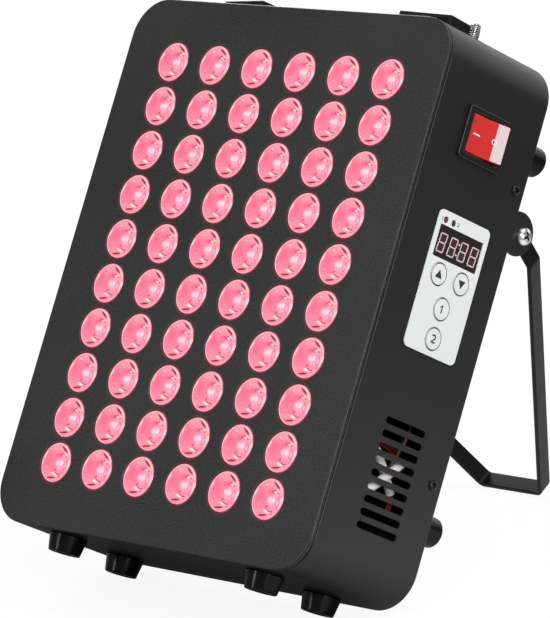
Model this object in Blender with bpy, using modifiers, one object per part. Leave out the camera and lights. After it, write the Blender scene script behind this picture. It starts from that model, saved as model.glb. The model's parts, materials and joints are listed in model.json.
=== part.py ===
"""Tabletop red light therapy lamp.

The panel is drawn upright in its own frame: x to the right as seen from the front, y from the
front face into the depth, z up the panel, with the middle of the front face at zero. An empty
carries that frame and leans it back onto the rear pair of bottom feet and the stand.
"""

import math

import bmesh
import bpy
from mathutils import Euler, Matrix, Vector

MM = 0.001
DEGREE = math.pi / 180

# General fits
FIT_GAP = 0.3 * MM
CUT_OVERRUN = 3 * MM
WELD_DISTANCE = 0.01 * MM
MERGE_DISTANCE = 0.05 * MM
FIRST_CORNER_SHARE = 0.25

# Field of lights
LED_COLUMNS = 6
LED_ROWS = 10
COLUMN_PITCH = 32.65 * MM
ROW_PITCH = 25.4 * MM
LENS_RADIUS = 11.1 * MM
LENS_FOOT_RADIUS = 5.4 * MM
LENS_DEPTH = 13.6 * MM
LENS_RECESS = 0.2 * MM
LENS_SIDES = 10

# Casing
SIDE_MARGIN = 38.375 * MM
END_MARGIN = 35.7 * MM
PANEL_WIDTH = (LED_COLUMNS - 1) * COLUMN_PITCH + 2 * SIDE_MARGIN
PANEL_HEIGHT = (LED_ROWS - 1) * ROW_PITCH + 2 * END_MARGIN
PANEL_DEPTH = 83 * MM
CORNER_RADIUS = 22 * MM
CORNER_STEPS = 5
HOUSING_SHEET = 1.2 * MM
FRONT_SHEET = 2 * MM
LIP_SHEET = 1.2 * MM
SEAM_GAP = 0.9 * MM
FRONT_LIP_DEPTH = 8 * MM
REAR_SHEET = 1.2 * MM
REAR_LIP_DEPTH = 12 * MM
REAR_INSET = 0.4 * MM
REAR_FACE = PANEL_DEPTH - REAR_INSET
REAR_INSIDE = REAR_FACE - REAR_SHEET
INSIDE_OFFSET = HOUSING_SHEET + FIT_GAP

# Light engine behind the front plate
BOARD_MARGIN = 5 * MM
BOARD_THICKNESS = 1.6 * MM
BOARD_CORNER = 3 * MM
BOARD_WIDTH = (LED_COLUMNS - 1) * COLUMN_PITCH + 2 * (LENS_RADIUS + BOARD_MARGIN)
BOARD_HEIGHT = (LED_ROWS - 1) * ROW_PITCH + 2 * (LENS_RADIUS + BOARD_MARGIN)
BOARD_FRONT = LENS_RECESS + LENS_DEPTH
SINK_FRONT = BOARD_FRONT + BOARD_THICKNESS + FIT_GAP
SINK_BASE = 4 * MM
FIN_THICKNESS = 1.8 * MM
FINS_PER_COLUMN = 3
FIN_PITCH = COLUMN_PITCH / FINS_PER_COLUMN
FIN_PAIRS = LED_COLUMNS * FINS_PER_COLUMN // 2 - 1
SINK_BACK = SINK_FRONT + SINK_BASE

# Studs and nuts that clamp the light engine to the front plate
STUD_COLLAR_RADIUS = 3.5 * MM
STUD_RADIUS = 1.9 * MM
STUD_TAIL = 5 * MM
STUD_SIDES = 8
STUD_COLUMN = 2
STUD_ROW = 4
NUT_FLATS = 7 * MM
NUT_THICKNESS = 3.2 * MM

# Fans on the rear cover
FAN_SIZE = 80 * MM
FAN_CORNER = 4 * MM
FAN_DEPTH = 20 * MM
FAN_RIM = 2 * MM
FAN_BORE_RADIUS = FAN_SIZE / 2 - FAN_RIM
FAN_BORE_SIDES = 20
FAN_HOLE_INSET = 4.25 * MM
FAN_SPACING_GAP = 8 * MM
FAN_DROP = 120 * MM
FAN_HUB_RADIUS = 16.5 * MM
FAN_HUB_SIDES = 12
MOTOR_PLATE = 3 * MM
STRUT_WIDTH = 4 * MM
ROTOR_DEPTH = 13 * MM
BLADE_COUNT = 7
BLADE_TIP_GAP = 1.5 * MM
BLADE_THICKNESS = 1.4 * MM
BLADE_ROOT_CHORD = 15 * MM
BLADE_TIP_CHORD = 24 * MM
BLADE_ROOT_PITCH = 48 * DEGREE
BLADE_TIP_PITCH = 26 * DEGREE
BLADE_SECTIONS = 3
BLADE_ROOT_DEPTH = 2 * MM
GRILLE_SLOT = 5 * MM
GRILLE_WEB = 3 * MM
GRILLE_ARCS = 4
GRILLE_RIB = 5 * MM
GRILLE_STEPS = 2
GRILLE_INNER_RADIUS = 14.5 * MM
GRILLE_SPAN = FAN_BORE_RADIUS - GRILLE_INNER_RADIUS + GRILLE_WEB
GRILLE_RINGS = int(GRILLE_SPAN // (GRILLE_SLOT + GRILLE_WEB))

# Vent slots in the side walls
VENT_COUNT = 9
VENT_PITCH = 7 * MM
VENT_WIDTH = 3.8 * MM
VENT_LENGTH = 31.2 * MM
VENT_REAR_INSET = 38.4 * MM
VENT_DEPTH_PLACE = PANEL_DEPTH - VENT_REAR_INSET
VENT_RISE = 35.7 * MM
VENT_END_STEPS = 2

# Fasteners
SCREW_SIDES = 8
M3_SIDES = 6
M3_RADIUS = 1.5 * MM
M3_HEAD_RADIUS = 3 * MM
M3_HEAD_HEIGHT = 1.4 * MM
M3_LENGTH = 7 * MM
CROWN_SHARE = 0.6
SIDE_SCREW_INSET = 7.2 * MM
SIDE_SCREW_HEIGHT = 81 * MM

# Rubber feet under the panel
FOOT_BASE_RADIUS = 9.8 * MM
FOOT_TIP_RADIUS = 8.3 * MM
FOOT_HEIGHT = 9.7 * MM
FOOT_SIDES = 10
FOOT_SIDE_PLACE = 76 * MM
FOOT_LIP_CLEARANCE = 6.8 * MM
FOOT_DEPTH_SPREAD = REAR_FACE - REAR_LIP_DEPTH - FOOT_LIP_CLEARANCE - PANEL_DEPTH / 2
FOOT_BORE_RADIUS = 2 * MM
FOOT_POCKET_RADIUS = 4.4 * MM
FOOT_POCKET_DEPTH = 5 * MM

# Rubber buffers on the rear cover
BUFFER_RADIUS = 8.2 * MM
BUFFER_HEIGHT = 15.5 * MM
BUFFER_POCKET_DEPTH = 9 * MM
BUFFER_SIDE_INSET = 12.3 * MM
BUFFER_END_INSET = 47.5 * MM

# Folding stand
PIVOT_BEHIND = 6.2 * MM
PIVOT_DROP = 90 * MM
PIVOT_SCREW_RADIUS = 2.5 * MM
PIVOT_HEAD_RADIUS = 5 * MM
PIVOT_HEAD_HEIGHT = 3 * MM
PIVOT_HEAD_SIDES = 12
PIVOT_TAIL = 2.5 * MM
PIVOT_NUT_FLATS = 8 * MM
PIVOT_NUT_THICKNESS = 4 * MM
EAR_RADIUS = 11.4 * MM
EAR_BEHIND = 3.5 * MM
EAR_SIDES = 20
BAR_WIDTH = 9 * MM
BAR_THICKNESS = 2.5 * MM
BAR_EYE_RADIUS = 6.5 * MM
BAR_EYE_SIDES = 12
BAR_BEND_RADIUS = 4 * MM
BAR_BEND_STEPS = 3
STAND_ARM = 20 * MM
STAND_REACH = 205.4 * MM
STAND_FOOT_HALF = 22.5 * MM
STAND_ANGLE = 29.4 * DEGREE
ARM_PLACE = PANEL_WIDTH / 2 - INSIDE_OFFSET - BAR_THICKNESS / 2

# Hanging straps on the top
STRAP_WIDTH = 26 * MM
STRAP_SHEET = 2 * MM
STRAP_RISE = 10 * MM
STRAP_PLACE = 69.3 * MM
STRAP_HALF_TOP = 15.3 * MM
STRAP_FLANGE = 8.8 * MM
STRAP_BOLT_OFFSET = 4.4 * MM
BOLT_RADIUS = 2.9 * MM
BOLT_RISE = 12.6 * MM
BOLT_CHAMFER = 0.8 * MM
BOLT_HEAD_RADIUS = 5 * MM
BOLT_HEAD_HEIGHT = 3 * MM

# Rocker switch in the right wall
SWITCH_LENGTH = 31.6 * MM
SWITCH_HEIGHT = 26.5 * MM
SWITCH_CORNER = 1.6 * MM
SWITCH_RIM = 1.8 * MM
SWITCH_PROUD = 2 * MM
SWITCH_BODY_DEPTH = 17 * MM
SWITCH_BODY_WALL = 1.3 * MM
SWITCH_DROP = 52.5 * MM
ROCKER_WIDTH = 20 * MM
ROCKER_TILT = 9 * DEGREE
ROCKER_PIVOT_DEPTH = 1.6 * MM
ROCKER_RISE = 3 * MM
ROCKER_SKIRT = 4 * MM
ROCKER_SKIRT_SHARE = 0.8
ROCKER_PIN_RADIUS = 1.4 * MM
ROCKER_PIN_LENGTH = 1 * MM
ROCKER_PIN_SIDES = 8
TAB_WIDTH = 6 * MM
TAB_LENGTH = 8 * MM
TAB_THICKNESS = 0.8 * MM

# Control panel in the right wall
FASCIA_WIDTH = 41 * MM
FASCIA_HEIGHT = 74.3 * MM
FASCIA_CORNER = 4 * MM
FASCIA_SHEET = 0.7 * MM
FASCIA_REAR_INSET = 37.8 * MM
FASCIA_PLACE = PANEL_DEPTH - FASCIA_REAR_INSET
FASCIA_DROP = 132.2 * MM
FASCIA_BORDER = 1.5 * MM
FASCIA_FRAME_WALL = 1 * MM
FASCIA_FRAME_DEPTH = 5 * MM
WINDOW_WIDTH = 34.8 * MM
WINDOW_HEIGHT = 16.9 * MM
WINDOW_CORNER = 0.8 * MM
WINDOW_LIFT = 21 * MM
DISPLAY_SINK = 0.4 * MM
BUTTON_RADIUS = 6 * MM
BUTTON_SIDES = 12
BUTTON_TRAVEL = 0.5 * MM
BUTTON_CROWN = 0.2 * MM
BUTTON_STEM_RADIUS = 1.6 * MM
ARROW_SPREAD = 9.05 * MM
ARROW_LIFT = 4.5 * MM
UPPER_MODE_DROP = 11.9 * MM
LOWER_MODE_DROP = 28 * MM
TACT_SIZE = 6 * MM
TACT_HEIGHT = 1.5 * MM
INDICATOR_RADIUS = 1.5 * MM
INDICATOR_SIDES = 8
INDICATOR_LIFT = 32.3 * MM
INDICATOR_NEAR = 14.5 * MM
INDICATOR_FAR = 8.3 * MM
CONTROL_BOARD_SHEET = 1.6 * MM

# Mains inlet in the rear cover
INLET_SIDE_INSET = 48 * MM
INLET_RISE = 32 * MM
INLET_FLANGE_WIDTH = 49 * MM
INLET_FLANGE_HEIGHT = 22.4 * MM
INLET_FLANGE_SHEET = 2 * MM
INLET_FLANGE_CORNER = 9 * MM
INLET_BODY_WIDTH = 27 * MM
INLET_BODY_HEIGHT = 19.6 * MM
INLET_BODY_DEPTH = 22 * MM
INLET_MOUTH_WIDTH = 24 * MM
INLET_MOUTH_HEIGHT = 16.4 * MM
INLET_MOUTH_DEPTH = 16 * MM
INLET_MOUTH_CORNER = 4 * MM
INLET_SCREW_SPREAD = 20 * MM
PIN_WIDTH = 2 * MM
PIN_HEIGHT = 4 * MM
PIN_LENGTH = 13 * MM
PIN_SPREAD = 7 * MM
PIN_DROP = 2 * MM
EARTH_PIN_LIFT = 3 * MM

# Power supply on the rear cover
SUPPLY_LENGTH = 120 * MM
SUPPLY_HEIGHT = 42 * MM
SUPPLY_DEPTH = 30 * MM
SUPPLY_EDGE = 2 * MM
SUPPLY_SIDE_INSET = 35 * MM
SUPPLY_LIFT = 1.8 * MM
SUPPLY_AIR_GAP = 11.4 * MM
TERMINAL_LENGTH = 18 * MM
TERMINAL_HEIGHT = 16 * MM
TERMINAL_DEPTH = 12 * MM
TERMINAL_EDGE = 0.8 * MM

# Places that several pieces share
PIVOT_HEIGHT = PANEL_HEIGHT / 2 - PIVOT_DROP
PIVOT_PLACE = (PANEL_DEPTH + PIVOT_BEHIND, PIVOT_HEIGHT)
SIDE_SCREW_PLACES = [(PANEL_DEPTH - SIDE_SCREW_INSET, i * SIDE_SCREW_HEIGHT) for i in (-1, 1)]
SWITCH_PLACE = (PANEL_DEPTH / 2, PANEL_HEIGHT / 2 - SWITCH_DROP)
SWITCH_BODY = (SWITCH_LENGTH - 2 * SWITCH_RIM + 2 * SWITCH_BODY_WALL,
               ROCKER_WIDTH + 2 * (FIT_GAP + SWITCH_BODY_WALL))
SWITCH_WINDOW = (SWITCH_BODY[0] + 2 * FIT_GAP, SWITCH_BODY[1] + 2 * FIT_GAP)
FASCIA_MIDDLE = (FASCIA_PLACE, PANEL_HEIGHT / 2 - FASCIA_DROP)
FAN_HEIGHT = PANEL_HEIGHT / 2 - FAN_DROP
FAN_PLACES = [(i * (FAN_SIZE + FAN_SPACING_GAP) / 2, FAN_HEIGHT) for i in (-1, 1)]
INLET_PLACE = (PANEL_WIDTH / 2 - INLET_SIDE_INSET, INLET_RISE - PANEL_HEIGHT / 2)
INLET_SCREW_PLACES = [(INLET_PLACE[0] + i * INLET_SCREW_SPREAD, INLET_PLACE[1]) for i in (-1, 1)]
SUPPLY_FRONT = REAR_INSIDE - FIT_GAP - SUPPLY_DEPTH
FIN_DEPTH = SUPPLY_FRONT - SUPPLY_AIR_GAP - SINK_BACK

# Wiring loom inside the casing: what each wire leads to or passes, and its route from there
LOOM_UNIT = 1 * MM
WIRE_RADIUS = 1.1 * MM
WIRE_STEPS = 2
INLET_TAB_END = REAR_FACE + FIT_GAP + INLET_FLANGE_SHEET - INLET_BODY_DEPTH - TAB_LENGTH
NEAR_INLET_TAB = (INLET_PLACE[0] - PIN_SPREAD, INLET_TAB_END, INLET_PLACE[1] - PIN_DROP)
FAR_INLET_TAB = (INLET_PLACE[0] + PIN_SPREAD, INLET_TAB_END, INLET_PLACE[1] - PIN_DROP)
SWITCH_TAB_END = PANEL_WIDTH / 2 - SWITCH_BODY_DEPTH - TAB_LENGTH
SWITCH_TAB_SPREAD = SWITCH_LENGTH / 2 - SWITCH_RIM - TAB_WIDTH
SWITCH_TAB_UNDERSIDE = SWITCH_PLACE[1] - TAB_THICKNESS / 2
FRONT_SWITCH_TAB = (SWITCH_TAB_END, SWITCH_PLACE[0] - SWITCH_TAB_SPREAD, SWITCH_TAB_UNDERSIDE)
REAR_SWITCH_TAB = (SWITCH_TAB_END, SWITCH_PLACE[0] + SWITCH_TAB_SPREAD, SWITCH_TAB_UNDERSIDE)
SUPPLY_LEFT = SUPPLY_SIDE_INSET - PANEL_WIDTH / 2
SUPPLY_HEIGHT_PLACE = INLET_PLACE[1] + INLET_FLANGE_HEIGHT / 2 + SUPPLY_LIFT + SUPPLY_HEIGHT / 2
SUPPLY_PLACE = (SUPPLY_LEFT, SUPPLY_FRONT + SUPPLY_DEPTH / 2, SUPPLY_HEIGHT_PLACE)
SUPPLY_ROOF = (SUPPLY_LEFT + SUPPLY_LENGTH, SUPPLY_PLACE[1], SUPPLY_PLACE[2] + SUPPLY_HEIGHT / 2)
TERMINAL_FACE = (SUPPLY_LEFT + SUPPLY_LENGTH + FIT_GAP + TERMINAL_LENGTH, *SUPPLY_PLACE[1:])
FAN_EDGE = FAN_PLACES[1][0] + FAN_SIZE / 2
FAN_LANE = ((FAN_EDGE + PANEL_WIDTH / 2 - HOUSING_SHEET) / 2, REAR_INSIDE, FAN_HEIGHT)
CONTROL_BOARD_BACK = (PANEL_WIDTH / 2 - FASCIA_FRAME_DEPTH - FIT_GAP - CONTROL_BOARD_SHEET, *FASCIA_MIDDLE)
LED_BOARD_CORNER = (-BOARD_WIDTH / 2, BOARD_FRONT + BOARD_THICKNESS, -BOARD_HEIGHT / 2)
MAINS_WIRE_ROUTE = (
    (FAR_INLET_TAB, ((0, -0.6, 0), (1, -7.9, 2), (11, -7.9, 14))),
    (FAN_LANE, ((-0.4, -23.4, -114), (2.6, -13.4, -70), (2.6, -13.4, 0), (-0.4, -23.4, 36))),
    (REAR_SWITCH_TAB, ((3, 0.5, -9.1), (3, 0, -0.4))),
)
SUPPLY_WIRE_ROUTE = (
    (NEAR_INLET_TAB, ((0, -0.6, 0), (-1, -8.9, 3), (7, -7.9, 16))),
    (TERMINAL_FACE, ((24.7, -8.1, 0), (16.7, 1.9, 0), (0.5, 3.9, 0))),
)
SWITCH_WIRE_ROUTE = (
    (FRONT_SWITCH_TAB, ((3, 0, -0.4), (3, 0.5, -9.1))),
    (FAN_LANE, ((-5.4, -31.4, 46), (-2.4, -11.4, 20), (-2.4, -9.4, -60), (-4.4, -13.4, -94), (-14.4, -19.4, -108))),
    (TERMINAL_FACE, ((0.5, -4.1, 4),)),
)
CONTROL_WIRE_ROUTE = (
    (CONTROL_BOARD_BACK, ((-0.4, -0.2, -27.8), (-6.1, -0.2, -29.8), (-15.1, 1.8, -49.8))),
    (SUPPLY_ROOF, ((47, -14.1, 21), (15, -9.1, 11), (-10, -4.1, 10), (-15, -3.1, 0.4))),
)
LIGHT_WIRE_ROUTE = (
    (SUPPLY_PLACE, ((-0.4, -0.1, 0), (-4, -0.1, 0), (-16, -6.1, 3), (-23, -26.1, 14))),
    (LED_BOARD_CORNER, ((-4.275, 11.6, 54.4), (3.725, 4.6, 59.4), (4.725, 0.4, 60.4))),
)

# Surface finishes: colour, roughness, metallic
FINISHES = {
    "front_coat": ((0.030, 0.030, 0.030), 0.55, 0.0),
    "casing_coat": ((0.022, 0.022, 0.023), 0.42, 0.0),
    "lens_pink": ((1.0, 0.32, 0.42), 0.12, 0.0),
    "board_green": ((0.02, 0.14, 0.06), 0.4, 0.0),
    "bare_aluminium": ((0.6, 0.61, 0.62), 0.4, 1.0),
    "plated_steel": ((0.8, 0.8, 0.8), 0.15, 1.0),
    "black_screw": ((0.02, 0.02, 0.02), 0.3, 0.6),
    "fan_plastic": ((0.025, 0.025, 0.026), 0.5, 0.0),
    "black_plastic": ((0.018, 0.018, 0.019), 0.35, 0.0),
    "black_rubber": ((0.01, 0.01, 0.01), 0.25, 0.0),
    "stand_coat": ((0.03, 0.03, 0.03), 0.38, 0.0),
    "rocker_red": ((0.8, 0.05, 0.03), 0.2, 0.0),
    "fascia_grey": ((0.72, 0.74, 0.76), 0.35, 0.0),
    "display_black": ((0.015, 0.01, 0.01), 0.1, 0.0),
    "key_grey": ((0.72, 0.74, 0.76), 0.4, 0.0),
    "supply_case": ((0.75, 0.75, 0.73), 0.45, 0.0),
    "terminal_white": ((0.85, 0.85, 0.83), 0.4, 0.0),
    "wire_red": ((0.6, 0.03, 0.02), 0.4, 0.0),
    "wire_white": ((0.8, 0.8, 0.78), 0.4, 0.0),
    "wire_black": ((0.02, 0.02, 0.02), 0.4, 0.0),
}

# Ways a piece can face: its own z axis points out of that side of the panel
FACE_FRONT = (math.pi / 2, 0, 0)
FACE_BACK = (math.pi / 2, 0, math.pi)
FACE_RIGHT = (math.pi / 2, 0, math.pi / 2)
FACE_LEFT = (math.pi / 2, 0, -math.pi / 2)
FACE_UP = (0, 0, 0)
FACE_DOWN = (math.pi, 0, 0)
HERE = (0, 0, 0)


class Workshop:
    """The collections, the panel's frame and the finishes that every piece shares."""

    def __init__(self):
        self.parts = new_collection("therapy_lamp")
        self.cutters = new_collection("cutters")
        self.finishes = {name: new_finish(name, *look) for name, look in FINISHES.items()}
        self.panel = self.frame("panel_frame", None, HERE)

    def frame(self, name, parent, location, rotation=FACE_UP):
        empty = bpy.data.objects.new(name, None)
        empty.location = location
        empty.rotation_euler = rotation
        empty.parent = parent
        self.parts.objects.link(empty)
        return empty

    def add(self, name, mesh, finish, location=HERE, rotation=FACE_UP, parent=None):
        """One named piece of the lamp."""
        mesh.name = name
        mesh.materials.clear()
        mesh.materials.append(self.finishes[finish])
        piece = bpy.data.objects.new(name, mesh)
        piece.location = location
        piece.rotation_euler = rotation
        piece.parent = parent or self.panel
        self.parts.objects.link(piece)
        return piece

    def tool(self, target, mesh, operation, location, rotation):
        """A hidden solid that is cut from the target or fused to it, in the target's frame."""
        name = f"{target.name}_tool_{len(target.modifiers)}"
        mesh.name = name
        helper = bpy.data.objects.new(name, mesh)
        helper.location = location
        helper.rotation_euler = rotation
        helper.parent = target.parent
        helper.hide_render = True
        helper.display_type = "WIRE"
        self.cutters.objects.link(helper)
        boolean = target.modifiers.new(name, "BOOLEAN")
        boolean.operation = operation
        boolean.solver = "EXACT"
        boolean.object = helper

    def cut(self, target, mesh, location=HERE, rotation=FACE_UP):
        self.tool(target, mesh, "DIFFERENCE", location, rotation)

    def fuse(self, target, mesh, location=HERE, rotation=FACE_UP):
        self.tool(target, mesh, "UNION", location, rotation)


def clear_scene():
    for obj in list(bpy.data.objects):
        bpy.data.objects.remove(obj, do_unlink=True)


def new_collection(name):
    collection = bpy.data.collections.new(name)
    bpy.context.scene.collection.children.link(collection)
    return collection


def new_finish(name, colour, roughness, metallic):
    finish = bpy.data.materials.new(name)
    finish.use_nodes = True
    shader = finish.node_tree.nodes["Principled BSDF"]
    shader.inputs["Base Color"].default_value = (*colour, 1)
    shader.inputs["Roughness"].default_value = roughness
    shader.inputs["Metallic"].default_value = metallic
    finish.diffuse_color = (*colour, 1)
    return finish


# Flat outlines, as lists of points


def rounded_rectangle(width, height, radius, steps, middle=(0, 0)):
    points = []
    for quarter, (right, up) in enumerate(((1, 1), (-1, 1), (-1, -1), (1, -1))):
        for step in range(steps + 1):
            angle = (quarter + step / steps) * math.pi / 2
            across = middle[0] + right * (width / 2 - radius) + radius * math.cos(angle)
            along = middle[1] + up * (height / 2 - radius) + radius * math.sin(angle)
            points.append((across, along))
    return points


def rectangle(width, height, middle=(0, 0)):
    corners = ((1, 1), (-1, 1), (-1, -1), (1, -1))
    return [(middle[0] + i * width / 2, middle[1] + j * height / 2) for i, j in corners]


def circle(radius, sides, middle=(0, 0)):
    angles = [2 * math.pi * (side + FIRST_CORNER_SHARE) / sides for side in range(sides)]
    return [(middle[0] + radius * math.cos(a), middle[1] + radius * math.sin(a)) for a in angles]


def long_slot(length, width, steps, middle=(0, 0)):
    return rounded_rectangle(length, width, width / 2 - WELD_DISTANCE, steps, middle)


def arc_slot(radius, width, start, end, steps, middle):
    """A curved slot: out along the larger arc, back along the smaller one."""
    points = []
    for rim, order in ((radius + width / 2, 1), (radius - width / 2, -1)):
        for step in list(range(steps + 1))[::order]:
            angle = start + (end - start) * step / steps
            points.append((middle[0] + rim * math.cos(angle), middle[1] + rim * math.sin(angle)))
    return points


def lens_places():
    """Middle of every lens, from the bottom row up and from left to right."""
    left = -(LED_COLUMNS - 1) * COLUMN_PITCH / 2
    bottom = -(LED_ROWS - 1) * ROW_PITCH / 2
    grid = [(i, j) for j in range(LED_ROWS) for i in range(LED_COLUMNS)]
    return [(left + i * COLUMN_PITCH, bottom + j * ROW_PITCH) for i, j in grid]


def stud_places():
    return four_places(STUD_COLUMN * COLUMN_PITCH, STUD_ROW * ROW_PITCH)


def four_places(across, along):
    return [(i * across, j * along) for i in (-1, 1) for j in (-1, 1)]


# Solids, each centred on its own origin


def finished_mesh(obj):
    """The shape of a helper object with its modifiers, welded, and with no sliver on its flats."""
    bpy.context.scene.collection.objects.link(obj)
    graph = bpy.context.evaluated_depsgraph_get()
    mesh = bpy.data.meshes.new_from_object(obj.evaluated_get(graph))
    bpy.data.objects.remove(obj, do_unlink=True)
    shape = bmesh.new()
    shape.from_mesh(mesh)
    bmesh.ops.remove_doubles(shape, verts=shape.verts, dist=WELD_DISTANCE)
    bmesh.ops.recalc_face_normals(shape, faces=shape.faces)
    bmesh.ops.beautify_fill(shape, faces=shape.faces, edges=shape.edges)
    shape.to_mesh(mesh)
    shape.free()
    return mesh


def plate(loops, thickness):
    """A sheet in the local XY plane: the first loop is its outline and the others are holes."""
    curve = bpy.data.curves.new("outline", "CURVE")
    curve.dimensions = "2D"
    curve.fill_mode = "BOTH"
    curve.extrude = thickness / 2
    for loop in loops:
        spline = curve.splines.new("POLY")
        spline.points.add(len(loop) - 1)
        for point, (across, along) in zip(spline.points, loop):
            point.co = (across, along, 0, 1)
        spline.use_cyclic_u = True
    return finished_mesh(bpy.data.objects.new("outline", curve))


def turned(profile, sides, closed=False):
    """A body of revolution about local Z; the profile runs down the outer side."""
    count = len(profile)
    edges = [(i, i + 1) for i in range(count - 1)]
    if closed:
        edges.append((count - 1, 0))
    mesh = bpy.data.meshes.new("profile")
    mesh.from_pydata([(radius, 0, height) for radius, height in profile], edges, [])
    body = bpy.data.objects.new("profile", mesh)
    screw = body.modifiers.new("turn", "SCREW")
    screw.steps = sides
    screw.render_steps = sides
    screw.use_merge_vertices = True
    screw.merge_threshold = MERGE_DISTANCE
    result = finished_mesh(body)
    result.transform(Matrix.Rotation(2 * math.pi * FIRST_CORNER_SHARE / sides, 4, "Z"))
    return result


def cylinder(radius, length, sides):
    half = length / 2
    return turned([(0, half), (radius, half), (radius, -half), (0, -half)], sides)


def block(width, depth, height, edge=0):
    """A box, with its edges rounded off by one facet where an edge size is given."""
    shape = bmesh.new()
    bmesh.ops.create_cube(shape, size=1)
    bmesh.ops.scale(shape, vec=(width, depth, height), verts=shape.verts)
    if edge:
        bmesh.ops.bevel(shape, geom=shape.edges[:], offset=edge, segments=1, affect="EDGES")
    mesh = bpy.data.meshes.new("block")
    shape.to_mesh(mesh)
    shape.free()
    return mesh


def loft(sections):
    """A closed skin over cross-sections that have the same number of points."""
    shape = bmesh.new()
    rings = [[shape.verts.new(point) for point in section] for section in sections]
    for near, far in zip(rings, rings[1:]):
        for i, j in zip(range(len(near)), [*range(1, len(near)), 0]):
            shape.faces.new((near[i], near[j], far[j], far[i]))
    shape.faces.new(rings[0][::-1])
    shape.faces.new(rings[-1])
    bmesh.ops.recalc_face_normals(shape, faces=shape.faces)
    mesh = bpy.data.meshes.new("loft")
    shape.to_mesh(mesh)
    shape.free()
    return mesh


def copies(mesh, places):
    """One mesh of separate equal bodies, each at a (location, rotation) place."""
    group = bmesh.new()
    for location, rotation in places:
        turn = Matrix.LocRotScale(Vector(location), Euler(rotation), None)
        part = mesh.copy()
        part.transform(turn)
        group.from_mesh(part)
        bpy.data.meshes.remove(part)
    result = bpy.data.meshes.new("group")
    group.to_mesh(result)
    group.free()
    return result


def repeat(shop, name, mesh, finish, places):
    """Equal pieces, each an object of its own with a number after its name."""
    for number, (location, rotation) in enumerate(places, 1):
        smooth(shop.add(f"{name}_{number}", mesh.copy(), finish, location, rotation))


def smooth(piece, angle=35 * DEGREE):
    piece.data.shade_smooth()
    piece.data.set_sharp_from_angle(angle=angle)


def drilled(places, radius, length, sides, rotation, level):
    """Drills for a pattern of (across, along) places on one side of the panel."""
    drill = cylinder(radius, length, sides)
    return copies(drill, [(on_side(place, level, rotation), rotation) for place in places])


def on_side(place, level, rotation):
    """A point at (across, along) on a side, at a level along that side's axis."""
    across, along = place
    if rotation in (FACE_FRONT, FACE_BACK):
        return (across, level, along)
    if rotation in (FACE_RIGHT, FACE_LEFT):
        return (level, across, along)
    return (across, along, level)


def pan_head_screw(radius, head_radius, head_height, length, sides):
    """Head above zero, shank below it."""
    crown = head_radius * CROWN_SHARE
    return turned(
        [(0, head_height), (crown, head_height), (head_radius, 0), (radius, 0), (radius, -length), (0, -length)],
        sides,
    )


def m3_screw(length):
    return pan_head_screw(M3_RADIUS, M3_HEAD_RADIUS, M3_HEAD_HEIGHT, length, M3_SIDES)


def hex_nut(flats, thickness, bore):
    corner = flats / math.sqrt(3)
    return plate([circle(corner, 6), circle(bore, SCREW_SIDES)], thickness)


# Sheet-metal casing


def front_plate(shop):
    """Front pan: a plate with one round window for each lens, and a lip that enters the housing."""
    windows = [circle(LENS_RADIUS + FIT_GAP, LENS_SIDES, place) for place in lens_places()]
    pan = shop.add("front_plate", plate([inset_outline(0), *windows], FRONT_SHEET), "front_coat",
                   (0, FRONT_SHEET / 2, 0), FACE_FRONT)
    lip_start = FRONT_SHEET / 2
    lip_length = FRONT_SHEET / 2 + FRONT_LIP_DEPTH
    lip = plate(lip_loops(INSIDE_OFFSET), lip_length)
    shop.fuse(pan, lip, (0, lip_start + lip_length / 2, 0), FACE_FRONT)
    shop.fuse(pan, copies(board_stud(), [((x, FRONT_SHEET, z), FACE_FRONT) for x, z in stud_places()]))
    smooth(pan)


def board_stud():
    """Welded stud, rooted in the plate: its collar spaces the board and its thread takes a nut."""
    root = FRONT_SHEET / 2
    collar = BOARD_FRONT - FRONT_SHEET - FIT_GAP
    end = SINK_BACK + FIT_GAP + NUT_THICKNESS + STUD_TAIL - FRONT_SHEET
    profile = [
        (0, root), (STUD_COLLAR_RADIUS, root), (STUD_COLLAR_RADIUS, -collar), (STUD_RADIUS, -collar),
        (STUD_RADIUS, -end), (0, -end),
    ]
    return turned(profile, STUD_SIDES)


def inset_outline(gap):
    """The panel's outline drawn in by a gap."""
    return rounded_rectangle(PANEL_WIDTH - 2 * gap, PANEL_HEIGHT - 2 * gap, CORNER_RADIUS - gap, CORNER_STEPS)


def lip_loops(outer):
    """Outline and inside of a lip whose outer face lies a gap inside the panel's outline."""
    return [inset_outline(outer), inset_outline(outer + LIP_SHEET)]


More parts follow.
